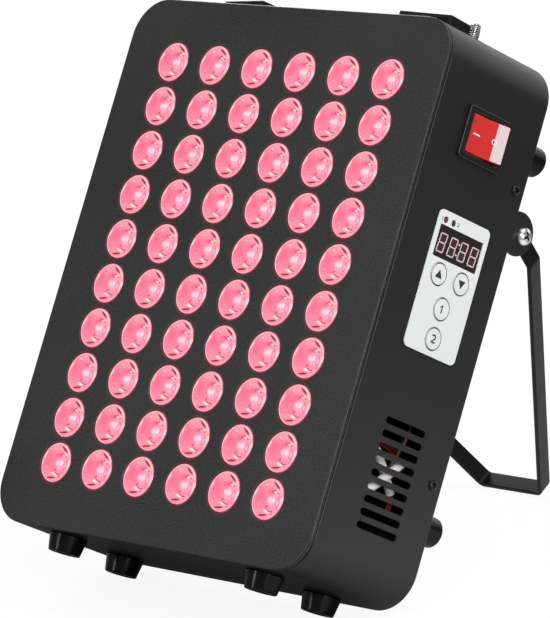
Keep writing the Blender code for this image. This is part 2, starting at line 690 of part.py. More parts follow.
def housing(shop):
    """Wrap-around housing with the stand's ears, vents, switch and control openings."""
    front = FRONT_SHEET + SEAM_GAP
    length = PANEL_DEPTH - front
    loops = [inset_outline(0), inset_outline(HOUSING_SHEET)]
    wrap = shop.add("housing", plate(loops, length), "casing_coat", (0, front + length / 2, 0), FACE_FRONT)
    wall = PANEL_WIDTH / 2 - HOUSING_SHEET / 2
    ear = cylinder(EAR_RADIUS, HOUSING_SHEET, EAR_SIDES)
    ear_place = (PANEL_DEPTH + EAR_BEHIND, PIVOT_HEIGHT)
    shop.fuse(wrap, copies(ear, [(on_side(ear_place, side * wall, FACE_RIGHT), FACE_RIGHT) for side in (-1, 1)]))
    through = HOUSING_SHEET + CUT_OVERRUN
    shop.cut(wrap, plate([rectangle(SWITCH_WINDOW[0], SWITCH_WINDOW[1])], through),
             (wall, SWITCH_PLACE[0], SWITCH_PLACE[1]), FACE_RIGHT)
    shop.cut(wrap, plate([fascia_frame_loop(FIT_GAP)], through), (wall, *FASCIA_MIDDLE), FACE_RIGHT)
    vents = [
        (side * wall, VENT_DEPTH_PLACE, -PANEL_HEIGHT / 2 + VENT_RISE + i * VENT_PITCH)
        for i in range(VENT_COUNT) for side in (-1, 1)
    ]
    slot = plate([long_slot(VENT_LENGTH, VENT_WIDTH, VENT_END_STEPS)], through)
    shop.cut(wrap, copies(slot, [(place, FACE_RIGHT) for place in vents]))
    holes = []
    for side in (-1, 1):
        holes.append(drilled(SIDE_SCREW_PLACES, M3_RADIUS + FIT_GAP, through, M3_SIDES, FACE_RIGHT, side * wall))
        holes.append(drilled([PIVOT_PLACE], PIVOT_SCREW_RADIUS + FIT_GAP, through, SCREW_SIDES, FACE_RIGHT,
                             side * wall))
    roof = PANEL_HEIGHT / 2 - HOUSING_SHEET / 2
    holes.append(drilled(strap_bolt_places(), BOLT_RADIUS + FIT_GAP, through, SCREW_SIDES, FACE_UP, roof))
    holes.append(drilled(bottom_foot_places(), M3_RADIUS + FIT_GAP, through, M3_SIDES, FACE_UP, -roof))
    for mesh in holes:
        shop.cut(wrap, mesh)
    smooth(wrap)


def rear_cover(shop):
    """Rear pan with the two fan grilles, the inlet's opening and a lip for the side screws."""
    loops = [inset_outline(INSIDE_OFFSET)]
    for middle in FAN_PLACES:
        loops += grille_loops(middle)
        loops += [circle(M3_RADIUS + FIT_GAP, M3_SIDES, place) for place in fan_screw_places(middle)]
    loops += [circle(M3_RADIUS + FIT_GAP, M3_SIDES, place) for place in buffer_places()]
    loops += [circle(M3_RADIUS + FIT_GAP, M3_SIDES, place) for place in INLET_SCREW_PLACES]
    opening = (INLET_BODY_WIDTH + 2 * FIT_GAP, INLET_BODY_HEIGHT + 2 * FIT_GAP)
    loops.append(rectangle(*opening, INLET_PLACE))
    cover = shop.add("rear_cover", plate(loops, REAR_SHEET), "casing_coat",
                     (0, REAR_FACE - REAR_SHEET / 2, 0), FACE_FRONT)
    lip_length = REAR_LIP_DEPTH - REAR_SHEET / 2
    lip = plate(lip_loops(INSIDE_OFFSET + FIT_GAP), lip_length)
    shop.fuse(cover, lip, (0, REAR_FACE - REAR_LIP_DEPTH + lip_length / 2, 0), FACE_FRONT)
    reach = LIP_SHEET + CUT_OVERRUN
    for side in (-1, 1):
        level = side * (PANEL_WIDTH / 2 - INSIDE_OFFSET - FIT_GAP - LIP_SHEET / 2)
        shop.cut(cover, drilled(SIDE_SCREW_PLACES, M3_RADIUS + FIT_GAP, reach, M3_SIDES, FACE_RIGHT, level))
    smooth(cover)


def grille_loops(middle):
    """Rings of curved slots in front of one fan, crossed by ribs of equal width."""
    loops = []
    for ring in range(GRILLE_RINGS):
        radius = GRILLE_INNER_RADIUS + GRILLE_SLOT / 2 + ring * (GRILLE_SLOT + GRILLE_WEB)
        rib = GRILLE_RIB / radius / 2
        for arc in range(GRILLE_ARCS):
            start = (arc + ring % 2 / 2) * 2 * math.pi / GRILLE_ARCS + rib
            end = start + 2 * math.pi / GRILLE_ARCS - 2 * rib
            loops.append(arc_slot(radius, GRILLE_SLOT, start, end, GRILLE_STEPS, middle))
    return loops


# Places that several pieces share


def fan_screw_places(middle):
    reach = FAN_SIZE / 2 - FAN_HOLE_INSET
    return [(middle[0] + i, middle[1] + j) for i, j in four_places(reach, reach)]


def buffer_places():
    return four_places(PANEL_WIDTH / 2 - BUFFER_SIDE_INSET, PANEL_HEIGHT / 2 - BUFFER_END_INSET)


def bottom_foot_places():
    middle = PANEL_DEPTH / 2
    return [(i, middle + j) for i, j in four_places(FOOT_SIDE_PLACE, FOOT_DEPTH_SPREAD)]


def strap_bolt_places():
    reach = STRAP_HALF_TOP + STRAP_BOLT_OFFSET
    return [(i * STRAP_PLACE + j * reach, PANEL_DEPTH / 2) for i in (-1, 1) for j in (-1, 1)]


def fascia_frame_loop(growth=0):
    width = FASCIA_WIDTH - 2 * FASCIA_BORDER + 2 * growth
    height = FASCIA_HEIGHT - 2 * FASCIA_BORDER + 2 * growth
    return rounded_rectangle(width, height, FASCIA_CORNER - FASCIA_BORDER + growth, 2)


# Light engine


def led_board(shop):
    """Circuit board that carries one collimator lens over each light."""
    loops = [rounded_rectangle(BOARD_WIDTH, BOARD_HEIGHT, BOARD_CORNER, 2)]
    loops += [circle(STUD_RADIUS + FIT_GAP, STUD_SIDES, place) for place in stud_places()]
    board = shop.add("led_board", plate(loops, BOARD_THICKNESS), "lens_pink",
                     (0, BOARD_FRONT + BOARD_THICKNESS / 2, 0), FACE_FRONT)
    foot = LENS_DEPTH + BOARD_THICKNESS / 2
    lens = turned([(0, 0), (LENS_RADIUS, 0), (LENS_FOOT_RADIUS, -foot), (0, -foot)], LENS_SIDES)
    places = [((x, LENS_RECESS, z), FACE_FRONT) for x, z in lens_places()]
    shop.fuse(board, copies(lens, places))
    smooth(board)


def heat_sink(shop):
    """Extruded heat sink: a base with upright fins, spaced so that the nuts stand between them."""
    half = FIN_PITCH * FIN_PAIRS
    outline = [(half, SINK_BACK), (half, SINK_FRONT), (-half, SINK_FRONT), (-half, SINK_BACK)]
    for fin in range(-FIN_PAIRS, FIN_PAIRS):
        middle = (fin + 1 / 2) * FIN_PITCH
        near = middle - FIN_THICKNESS / 2
        far = middle + FIN_THICKNESS / 2
        tip = SINK_BACK + FIN_DEPTH
        outline += [(near, SINK_BACK), (near, tip), (far, tip), (far, SINK_BACK)]
    sink = shop.add("heat_sink", plate([outline], BOARD_HEIGHT), "bare_aluminium")
    length = SINK_BASE + 2 * CUT_OVERRUN
    drills = drilled(stud_places(), STUD_RADIUS + FIT_GAP, length, STUD_SIDES, FACE_FRONT, SINK_FRONT + SINK_BASE / 2)
    shop.cut(sink, drills)


def board_nuts(shop):
    """Nuts that clamp the heat sink and the board onto the front plate's studs."""
    nut = hex_nut(NUT_FLATS, NUT_THICKNESS, STUD_RADIUS + FIT_GAP)
    level = SINK_BACK + FIT_GAP + NUT_THICKNESS / 2
    places = [(x, level, z) for x, z in stud_places()]
    repeat(shop, "board_nut", nut, "plated_steel", [(place, FACE_FRONT) for place in places])


# Fans


def fan(shop, name, middle):
    """Axial fan: a square frame with its motor plate, struts and four screws, and a bladed rotor."""
    loops = [rounded_rectangle(FAN_SIZE, FAN_SIZE, FAN_CORNER, 2), circle(FAN_BORE_RADIUS, FAN_BORE_SIDES)]
    back = REAR_INSIDE - FIT_GAP
    frame = shop.add(f"{name}_frame", plate(loops, FAN_DEPTH), "fan_plastic",
                     (middle[0], back - FAN_DEPTH / 2, middle[1]), FACE_FRONT)
    level = back - MOTOR_PLATE / 2
    shop.fuse(frame, motor_mount(), (middle[0], level, middle[1]), FACE_FRONT)
    seat = REAR_FACE + FIT_GAP
    places = [((x, seat, z), FACE_BACK) for x, z in fan_screw_places(middle)]
    shop.fuse(frame, copies(m3_screw(M3_LENGTH), places))
    smooth(frame)
    axle = shop.frame(f"{name}_axle", shop.panel, (middle[0], back - MOTOR_PLATE - FIT_GAP, middle[1]), FACE_FRONT)
    hub = turned([(0, ROTOR_DEPTH), (FAN_HUB_RADIUS, ROTOR_DEPTH), (FAN_HUB_RADIUS, 0), (0, 0)], FAN_HUB_SIDES)
    rotor = shop.add(f"{name}_rotor", hub, "fan_plastic", parent=axle)
    turns = [(HERE, (0, 0, 2 * math.pi * blade / BLADE_COUNT)) for blade in range(BLADE_COUNT)]
    shop.fuse(rotor, copies(fan_blade(), turns))
    smooth(rotor)


def motor_mount():
    """Round motor plate and four struts that run into the frame."""
    strut_half = STRUT_WIDTH / 2
    reach = FAN_SIZE / 2 - FAN_CORNER / 2
    outline = []
    for quarter in range(4):
        turn = Matrix.Rotation(quarter * math.pi / 2, 2)
        edge = math.sqrt(FAN_HUB_RADIUS ** 2 - strut_half ** 2)
        corner = [(edge, -strut_half), (reach, -strut_half), (reach, strut_half), (edge, strut_half)]
        outline += [tuple(turn @ Vector(point)) for point in corner]
        for step in range(1, 4):
            angle = quarter * math.pi / 2 + step * math.pi / 8
            outline.append((FAN_HUB_RADIUS * math.cos(angle), FAN_HUB_RADIUS * math.sin(angle)))
    return plate([outline], MOTOR_PLATE)


def fan_blade():
    """Twisted blade along +x: its chord grows and its pitch flattens towards the tip."""
    root = FAN_HUB_RADIUS - BLADE_ROOT_DEPTH
    tip = FAN_BORE_RADIUS - BLADE_TIP_GAP
    sections = []
    for index in range(BLADE_SECTIONS):
        share = index / (BLADE_SECTIONS - 1)
        radius = root + (tip - root) * share
        chord = BLADE_ROOT_CHORD + (BLADE_TIP_CHORD - BLADE_ROOT_CHORD) * share
        chord = min(chord, (ROTOR_DEPTH - BLADE_THICKNESS) / math.sin(BLADE_ROOT_PITCH))
        pitch = BLADE_ROOT_PITCH + (BLADE_TIP_PITCH - BLADE_ROOT_PITCH) * share
        turn = Matrix.Rotation(pitch, 3, "X")
        corners = [(0, i * chord / 2, j * BLADE_THICKNESS / 2) for i, j in ((-1, -1), (1, -1), (1, 1), (-1, 1))]
        middle = Vector((radius, 0, ROTOR_DEPTH / 2))
        sections.append([middle + turn @ Vector(corner) for corner in corners])
    return loft(sections)


# Power inlet, power supply and wiring


def mains_inlet(shop):
    """Flanged appliance inlet with its recessed socket and three flat pins."""
    body_outline = rectangle(INLET_BODY_WIDTH, INLET_BODY_HEIGHT)
    back = REAR_FACE + FIT_GAP + INLET_FLANGE_SHEET
    depth = INLET_BODY_DEPTH
    inlet = shop.add("mains_inlet", plate([body_outline], depth), "black_plastic",
                     (INLET_PLACE[0], back - depth / 2, INLET_PLACE[1]), FACE_BACK)
    flange = rounded_rectangle(INLET_FLANGE_WIDTH, INLET_FLANGE_HEIGHT, INLET_FLANGE_CORNER, 3)
    holes = [circle(M3_RADIUS + FIT_GAP, M3_SIDES, (i * INLET_SCREW_SPREAD, 0)) for i in (-1, 1)]
    shop.fuse(inlet, plate([flange, *holes], INLET_FLANGE_SHEET),
              (INLET_PLACE[0], back - INLET_FLANGE_SHEET / 2, INLET_PLACE[1]), FACE_BACK)
    mouth = rounded_rectangle(INLET_MOUTH_WIDTH, INLET_MOUTH_HEIGHT, INLET_MOUTH_CORNER, 1)
    reach = INLET_MOUTH_DEPTH + CUT_OVERRUN
    shop.cut(inlet, plate([mouth], reach),
             (INLET_PLACE[0], back - INLET_MOUTH_DEPTH + reach / 2, INLET_PLACE[1]), FACE_BACK)
    floor = back - INLET_MOUTH_DEPTH
    pin = block(PIN_WIDTH, PIN_LENGTH + CUT_OVERRUN, PIN_HEIGHT)
    pins = [(-PIN_SPREAD, -PIN_DROP), (PIN_SPREAD, -PIN_DROP), (0, EARTH_PIN_LIFT)]
    level = floor + (PIN_LENGTH - CUT_OVERRUN) / 2
    shop.fuse(inlet, copies(pin, [((INLET_PLACE[0] + x, level, INLET_PLACE[1] + z), FACE_UP) for x, z in pins]))
    tab = block(TAB_THICKNESS, TAB_LENGTH + CUT_OVERRUN, TAB_WIDTH)
    level = INLET_TAB_END + (TAB_LENGTH + CUT_OVERRUN) / 2
    shop.fuse(inlet, copies(tab, [((INLET_PLACE[0] + x, level, INLET_PLACE[1] + z), FACE_UP) for x, z in pins]))
    places = [((x, back + FIT_GAP, z), FACE_BACK) for x, z in INLET_SCREW_PLACES]
    repeat(shop, "inlet_screw", m3_screw(M3_LENGTH), "black_screw", places)


def power_supply(shop):
    """Boxed power supply on the rear cover and its terminal block."""
    left, level, height = SUPPLY_PLACE
    case = block(SUPPLY_LENGTH, SUPPLY_DEPTH, SUPPLY_HEIGHT, SUPPLY_EDGE)
    shop.add("power_supply", case, "supply_case", (left + SUPPLY_LENGTH / 2, level, height))
    terminal = block(TERMINAL_LENGTH, TERMINAL_DEPTH, TERMINAL_HEIGHT, TERMINAL_EDGE)
    across = TERMINAL_FACE[0] - TERMINAL_LENGTH / 2
    shop.add("terminal_block", terminal, "terminal_white", (across, level, height))


def wire(shop, name, route, finish):
    """An insulated wire along a smooth curve through the points of its route."""
    knots = [Vector(anchor) + Vector(step) * LOOM_UNIT for anchor, steps in route for step in steps]
    curve = bpy.data.curves.new(name, "CURVE")
    curve.dimensions = "3D"
    curve.bevel_depth = WIRE_RADIUS
    curve.bevel_resolution = 1
    curve.use_fill_caps = True
    points = smooth_route(knots)
    spline = curve.splines.new("POLY")
    spline.points.add(len(points) - 1)
    for knot, point in zip(spline.points, points):
        knot.co = (*point, 1)
    shop.add(name, finished_mesh(bpy.data.objects.new(name, curve)), finish)


def smooth_route(knots):
    """Points along a curve that passes through every knot."""
    ends = [knots[0] * 2 - knots[1], *knots, knots[-1] * 2 - knots[-2]]
    points = [knots[0]]
    for before, start, end, after in zip(ends, ends[1:], ends[2:], ends[3:]):
        for step in range(1, WIRE_STEPS + 1):
            t = step / WIRE_STEPS
            bend = (2 * before - 5 * start + 4 * end - after) * t ** 2
            turn = (3 * start - before - 3 * end + after) * t ** 3
            points.append((2 * start + (end - before) * t + bend + turn) / 2)
    return points


def wiring(shop):
    wire(shop, "mains_wire", MAINS_WIRE_ROUTE, "wire_red")
    wire(shop, "supply_wire", SUPPLY_WIRE_ROUTE, "wire_white")
    wire(shop, "switch_wire", SWITCH_WIRE_ROUTE, "wire_red")
    wire(shop, "control_wire", CONTROL_WIRE_ROUTE, "wire_white")
    wire(shop, "light_wire", LIGHT_WIRE_ROUTE, "wire_black")


# Rocker switch


def rocker_switch(shop):
    """Switch body with a rimmed bezel, and the rocker pressed in at its front end."""
    wall = PANEL_WIDTH / 2
    across, height = SWITCH_PLACE
    pocket = (SWITCH_LENGTH - 2 * SWITCH_RIM, ROCKER_WIDTH + 2 * FIT_GAP)
    bezel = rounded_rectangle(SWITCH_LENGTH, SWITCH_HEIGHT, SWITCH_CORNER, 2)
    body = shop.add("switch_body", plate([bezel], SWITCH_PROUD - FIT_GAP), "black_plastic",
                    (wall + (SWITCH_PROUD + FIT_GAP) / 2, across, height), FACE_RIGHT)
    depth = SWITCH_BODY_DEPTH + SWITCH_PROUD / 2
    shop.fuse(body, plate([rectangle(*SWITCH_BODY)], depth),
              (wall + SWITCH_PROUD / 2 - depth / 2, across, height), FACE_RIGHT)
    floor = wall - SWITCH_BODY_DEPTH + SWITCH_BODY_WALL
    reach = wall + SWITCH_PROUD + CUT_OVERRUN - floor
    shop.cut(body, plate([rectangle(*pocket)], reach), (floor + reach / 2, across, height), FACE_RIGHT)
    axis = (wall - ROCKER_PIVOT_DEPTH, across, height)
    bearing = cylinder(ROCKER_PIN_RADIUS + FIT_GAP, ROCKER_WIDTH + 2 * (ROCKER_PIN_LENGTH + 2 * FIT_GAP),
                       ROCKER_PIN_SIDES)
    shop.cut(body, bearing, axis)
    tab = block(TAB_LENGTH + CUT_OVERRUN, TAB_WIDTH, TAB_THICKNESS)
    level = SWITCH_TAB_END + (TAB_LENGTH + CUT_OVERRUN) / 2
    places = [((level, across + i * SWITCH_TAB_SPREAD, height), FACE_UP) for i in (-1, 0, 1)]
    shop.fuse(body, copies(tab, places))
    smooth(body)
    pivot = shop.frame("rocker_axis", shop.panel, axis, (0, 0, -ROCKER_TILT))
    rocker = shop.add("rocker", plate([rocker_outline()], ROCKER_WIDTH), "rocker_red", parent=pivot)
    shop.fuse(rocker, cylinder(ROCKER_PIN_RADIUS, ROCKER_WIDTH + 2 * ROCKER_PIN_LENGTH, ROCKER_PIN_SIDES))
    smooth(rocker, 20 * DEGREE)


def rocker_outline():
    """Section of the rocker about its pivot: local x out of the wall, local y towards the back."""
    swing = SWITCH_LENGTH / 2 - SWITCH_RIM - FIT_GAP
    half = math.sqrt(swing ** 2 - ROCKER_RISE ** 2) - half_sink()
    peak = ROCKER_RISE + half * math.tan(ROCKER_TILT)
    skirt = half * ROCKER_SKIRT_SHARE
    return [(ROCKER_RISE, 0), (peak, half), (0, half), (-ROCKER_SKIRT, skirt),
            (-ROCKER_SKIRT, -skirt), (0, -half), (peak, -half)]


def half_sink():
    """How much shorter the rocker is than its swing, so that its ends clear the pocket."""
    return ROCKER_RISE * math.sin(ROCKER_TILT)


# Control panel


def control_panel(shop):
    wall = PANEL_WIDTH / 2
    face = wall + FIT_GAP + FASCIA_SHEET
    board_top = wall - FASCIA_FRAME_DEPTH - FIT_GAP
    keys = {
        "button_up": (-ARROW_SPREAD, ARROW_LIFT),
        "button_down": (ARROW_SPREAD, ARROW_LIFT),
        "button_red": (0, -UPPER_MODE_DROP),
        "button_infrared": (0, -LOWER_MODE_DROP),
    }
    lamps = [(-INDICATOR_NEAR, INDICATOR_LIFT), (-INDICATOR_FAR, INDICATOR_LIFT)]
    fascia(shop, wall, keys.values(), lamps)
    for name, place in keys.items():
        button(shop, name, place, face, board_top + TACT_HEIGHT)
    screen_depth = face - DISPLAY_SINK - board_top - FIT_GAP
    screen = plate([rectangle(WINDOW_WIDTH - 2 * FIT_GAP, WINDOW_HEIGHT - 2 * FIT_GAP)], screen_depth)
    shop.add("display_module", screen, "display_black",
             (face - DISPLAY_SINK - screen_depth / 2, *on_fascia((0, WINDOW_LIFT))), FACE_RIGHT)
    board = control_board(shop, board_top, keys.values())
    root = board_top - CONTROL_BOARD_SHEET / 2
    lamp = cylinder(INDICATOR_RADIUS, face - root, INDICATOR_SIDES)
    shop.fuse(board, copies(lamp, [(((face + root) / 2, *on_fascia(place)), FACE_RIGHT) for place in lamps]))


def on_fascia(place):
    return (FASCIA_MIDDLE[0] + place[0], FASCIA_MIDDLE[1] + place[1])


def fascia(shop, wall, keys, lamps):
    """Face plate with its window, key and lamp holes, and a frame that passes through the wall."""
    loops = [rounded_rectangle(FASCIA_WIDTH, FASCIA_HEIGHT, FASCIA_CORNER, 3)]
    loops.append(rectangle(WINDOW_WIDTH, WINDOW_HEIGHT, (0, WINDOW_LIFT)))
    loops += [circle(BUTTON_RADIUS + FIT_GAP, BUTTON_SIDES, place) for place in keys]
    loops += [circle(INDICATOR_RADIUS + FIT_GAP, INDICATOR_SIDES, place) for place in lamps]
    middle = wall + FIT_GAP + FASCIA_SHEET / 2
    piece = shop.add("control_fascia", plate(loops, FASCIA_SHEET), "fascia_grey", (middle, *FASCIA_MIDDLE), FACE_RIGHT)
    outer = fascia_frame_loop()
    inner = fascia_frame_loop(-FASCIA_FRAME_WALL)
    depth = FASCIA_FRAME_DEPTH + FIT_GAP + FASCIA_SHEET / 2
    shop.fuse(piece, plate([outer, inner], depth), (middle - depth / 2, *FASCIA_MIDDLE), FACE_RIGHT)


def button(shop, name, place, face, switch_top):
    """Key cap flush with the fascia, on a stem that reaches down to its switch."""
    axis = shop.frame(f"{name}_axis", shop.panel, (face, *on_fascia(place)), FACE_RIGHT)
    cap = FASCIA_SHEET + FIT_GAP + BUTTON_TRAVEL
    stem = face - switch_top - BUTTON_TRAVEL - FIT_GAP
    profile = [
        (0, BUTTON_CROWN), (BUTTON_RADIUS - BUTTON_CROWN, BUTTON_CROWN), (BUTTON_RADIUS, 0), (BUTTON_RADIUS, -cap),
        (BUTTON_STEM_RADIUS, -cap), (BUTTON_STEM_RADIUS, -stem), (0, -stem),
    ]
    key = shop.add(name, turned(profile, BUTTON_SIDES), "key_grey", parent=axis)
    smooth(key)


def control_board(shop, top, keys):
    """Circuit board behind the fascia, with a push switch under each key and two lamps."""
    outline = rounded_rectangle(FASCIA_WIDTH - 2 * FASCIA_BORDER, FASCIA_HEIGHT - 2 * FASCIA_BORDER,
                                FASCIA_CORNER - FASCIA_BORDER, 1)
    board = shop.add("control_board", plate([outline], CONTROL_BOARD_SHEET), "board_green",
                     (top - CONTROL_BOARD_SHEET / 2, *FASCIA_MIDDLE), FACE_RIGHT)
    depth = TACT_HEIGHT + CONTROL_BOARD_SHEET / 2
    tact = block(depth, TACT_SIZE, TACT_SIZE)
    places = [((top + TACT_HEIGHT - depth / 2, *on_fascia(place)), FACE_UP) for place in keys]
    shop.fuse(board, copies(tact, places))
    return board


# Straps, feet and fasteners on the casing


def hanging_straps(shop):
    """Hat-shaped straps on the roof, each clamped by two bolts that stand up through its flanges."""
    sheet = STRAP_SHEET
    half = STRAP_HALF_TOP
    reach = half + STRAP_FLANGE
    rise = STRAP_RISE - FIT_GAP
    outline = [
        (reach, 0), (reach, sheet), (half, sheet), (half, rise), (-half, rise), (-half, sheet), (-reach, sheet),
        (-reach, 0), (sheet - half, 0), (sheet - half, rise - sheet), (half - sheet, rise - sheet), (half - sheet, 0),
    ]
    roof = PANEL_HEIGHT / 2 + FIT_GAP
    for side, name in ((-1, "hanging_strap_left"), (1, "hanging_strap_right")):
        strap = shop.add(name, plate([outline], STRAP_WIDTH), "stand_coat",
                         (side * STRAP_PLACE, PANEL_DEPTH / 2, roof), FACE_FRONT)
        places = [place for place in strap_bolt_places() if place[0] * side > 0]
        length = sheet + 2 * CUT_OVERRUN
        shop.cut(strap, drilled(places, BOLT_RADIUS + FIT_GAP, length, SCREW_SIDES, FACE_UP, roof + sheet / 2))
    under = HOUSING_SHEET + FIT_GAP
    tip = BOLT_RADIUS - BOLT_CHAMFER
    profile = [
        (0, BOLT_RISE), (tip, BOLT_RISE), (BOLT_RADIUS, BOLT_RISE - BOLT_CHAMFER), (BOLT_RADIUS, -under),
        (BOLT_HEAD_RADIUS, -under), (BOLT_HEAD_RADIUS, -under - BOLT_HEAD_HEIGHT), (0, -under - BOLT_HEAD_HEIGHT),
    ]
    places = [((x, y, PANEL_HEIGHT / 2), FACE_UP) for x, y in strap_bolt_places()]
    repeat(shop, "strap_bolt", turned(profile, SCREW_SIDES), "plated_steel", places)


def foot_profile(base_radius, tip_radius, height, pocket_depth):
    """Rubber foot with its base at zero: a screw's bore, and a pocket for its head in the tip."""
    return [
        (base_radius, 0), (tip_radius, -height), (FOOT_POCKET_RADIUS, -height),
        (FOOT_POCKET_RADIUS, pocket_depth - height), (FOOT_BORE_RADIUS, pocket_depth - height), (FOOT_BORE_RADIUS, 0),
    ]


def rubber_feet(shop):
    """Four tapered feet below, each with its screw."""
    floor = -PANEL_HEIGHT / 2 - FIT_GAP
    foot = turned(foot_profile(FOOT_BASE_RADIUS, FOOT_TIP_RADIUS, FOOT_HEIGHT, FOOT_POCKET_DEPTH), FOOT_SIDES, True)
    grip = FOOT_HEIGHT - FOOT_POCKET_DEPTH
    repeat(shop, "foot", foot, "black_rubber", [((x, y, floor), FACE_UP) for x, y in bottom_foot_places()])
    places = [((x, y, floor - grip - FIT_GAP), FACE_DOWN) for x, y in bottom_foot_places()]
    repeat(shop, "foot_screw", m3_screw(grip + M3_LENGTH), "plated_steel", places)


def rear_buffers(shop):
    """Four straight rubber buffers behind, each moulded around its screw."""
    back = REAR_FACE + FIT_GAP
    profile = foot_profile(BUFFER_RADIUS, BUFFER_RADIUS, BUFFER_HEIGHT, BUFFER_POCKET_DEPTH)
    profile[-2:] = [(0, BUFFER_POCKET_DEPTH - BUFFER_HEIGHT), (0, M3_LENGTH), (M3_RADIUS, M3_LENGTH), (M3_RADIUS, 0)]
    buffer = turned([profile[-3], profile[-2], profile[-1], *profile[:-3]], FOOT_SIDES)
    places = [((x, back, z), FACE_FRONT) for x, z in buffer_places()]
    repeat(shop, "rear_buffer", buffer, "black_rubber", places)


def side_screws(shop):
    """Screws through the side walls into the rear cover's lip."""
    wall = PANEL_WIDTH / 2 + FIT_GAP
    places = [((side * wall, *place), facing) for side, facing in ((1, FACE_RIGHT), (-1, FACE_LEFT))
              for place in SIDE_SCREW_PLACES]
    repeat(shop, "side_screw", m3_screw(M3_LENGTH), "black_screw", places)


# Folding stand


def stand(shop):
    """U-shaped stand bent from flat bar, on a frame whose x axis is its pivot."""
    pivot = shop.frame("stand_pivot", shop.panel, (0, *PIVOT_PLACE), (-STAND_ANGLE, 0, 0))
    bar = shop.add("stand_bracket", plate([bar_outline()], BAR_WIDTH), "stand_coat", parent=pivot)
    eye = cylinder(BAR_EYE_RADIUS, BAR_THICKNESS, BAR_EYE_SIDES)
    shop.fuse(bar, copies(eye, [((side * ARM_PLACE, 0, 0), FACE_RIGHT) for side in (-1, 1)]))
    drill = cylinder(PIVOT_SCREW_RADIUS + FIT_GAP, BAR_THICKNESS + CUT_OVERRUN, SCREW_SIDES)
    shop.cut(bar, copies(drill, [((side * ARM_PLACE, 0, 0), FACE_RIGHT) for side in (-1, 1)]))
    smooth(bar)
    pivot_fasteners(shop)


def bar_outline():
    """Outline of the bent bar seen square on: pivots at the top, foot bar at the far end."""
    middle = [(-ARM_PLACE, 0), (-ARM_PLACE, STAND_ARM), (-STAND_FOOT_HALF, STAND_REACH),
              (STAND_FOOT_HALF, STAND_REACH), (ARM_PLACE, STAND_ARM), (ARM_PLACE, 0)]
    path = rounded_path([Vector(point) for point in middle])
    left = []
    right = []
    for index, point in enumerate(path):
        ahead = path[min(index + 1, len(path) - 1)] - path[max(index - 1, 0)]
        side = Vector((-ahead.y, ahead.x)).normalized() * BAR_THICKNESS / 2
        left.append(tuple(point + side))
        right.append(tuple(point - side))
    return left + right[::-1]


def rounded_path(corners):
    """The corners of a path with each inner one replaced by an arc of the bend radius."""
    path = [corners[0]]
    for before, corner, after in zip(corners, corners[1:], corners[2:]):
        inward = (before - corner).normalized()
        outward = (after - corner).normalized()
        half = inward.angle(outward) / 2
        centre = corner + (inward + outward).normalized() * BAR_BEND_RADIUS / math.sin(half)
        run = BAR_BEND_RADIUS / math.tan(half)
        start = (corner + inward * run - centre).normalized()
        end = (corner + outward * run - centre).normalized()
        for step in range(BAR_BEND_STEPS + 1):
            path.append(centre + start.slerp(end, step / BAR_BEND_STEPS) * BAR_BEND_RADIUS)
    path.append(corners[-1])
    return path


def pivot_fasteners(shop):
    """A pan-head screw and a nut at each ear, through the stand's eye."""
    grip = INSIDE_OFFSET + BAR_THICKNESS + 2 * FIT_GAP
    length = grip + PIVOT_NUT_THICKNESS + PIVOT_TAIL
    screw = pan_head_screw(PIVOT_SCREW_RADIUS, PIVOT_HEAD_RADIUS, PIVOT_HEAD_HEIGHT, length, PIVOT_HEAD_SIDES)
    wall = PANEL_WIDTH / 2 + FIT_GAP
    sides = ((1, FACE_RIGHT), (-1, FACE_LEFT))
    places = [((side * wall, *PIVOT_PLACE), facing) for side, facing in sides]
    repeat(shop, "pivot_screw", screw, "plated_steel", places)
    nut = hex_nut(PIVOT_NUT_FLATS, PIVOT_NUT_THICKNESS, PIVOT_SCREW_RADIUS + FIT_GAP)
    level = wall - grip - PIVOT_NUT_THICKNESS / 2
    places = [((side * level, *PIVOT_PLACE), facing) for side, facing in sides]
    repeat(shop, "pivot_nut", nut, "plated_steel", places)


# Standing the lamp up


def lean_angle():
    """Angle that puts the rear foot tips and the stand's lower edge on one level."""
    foot = Vector((PANEL_DEPTH / 2 + FOOT_DEPTH_SPREAD + FOOT_TIP_RADIUS, -PANEL_HEIGHT / 2 - FIT_GAP - FOOT_HEIGHT))
    down = Vector((math.cos(STAND_ANGLE), -math.sin(STAND_ANGLE)))
    across = Vector((math.sin(STAND_ANGLE), math.cos(STAND_ANGLE)))
    bar = Vector(PIVOT_PLACE) + down * (STAND_REACH + BAR_THICKNESS / 2) - across * BAR_WIDTH / 2
    ground = bar - foot
    return math.atan2(ground.y, ground.x)


def stand_on_ground(shop):
    """Leans the panel back and centres the whole lamp over the origin, with its lowest point at zero."""
    shop.panel.rotation_euler = (-lean_angle(), 0, 0)
    bpy.context.view_layer.update()
    graph = bpy.context.evaluated_depsgraph_get()
    points = []
    for piece in shop.parts.objects:
        if piece.type == "MESH":
            shape = piece.evaluated_get(graph)
            points += [shape.matrix_world @ vertex.co for vertex in shape.data.vertices]
    middle = [(min(p[axis] for p in points) + max(p[axis] for p in points)) / 2 for axis in (0, 1)]
    lowest = min(point.z for point in points)
    shop.panel.location = (-middle[0], -middle[1], -lowest)


def main():
    clear_scene()
    shop = Workshop()
    front_plate(shop)
    housing(shop)
    rear_cover(shop)
    led_board(shop)
    heat_sink(shop)
    board_nuts(shop)
    for name, middle in zip(("fan_left", "fan_right"), FAN_PLACES):
        fan(shop, name, middle)
    mains_inlet(shop)
    power_supply(shop)
    wiring(shop)
    rocker_switch(shop)
    control_panel(shop)
    hanging_straps(shop)
    rubber_feet(shop)
    rear_buffers(shop)
    side_screws(shop)
    stand(shop)
    stand_on_ground(shop)


main()
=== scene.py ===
"""Looks of a free-standing red light therapy lamp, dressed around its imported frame."""
import json
from math import acos, cos, pi, radians, sin, sqrt, tan

import bmesh
import bpy
from mathutils import Matrix, Vector


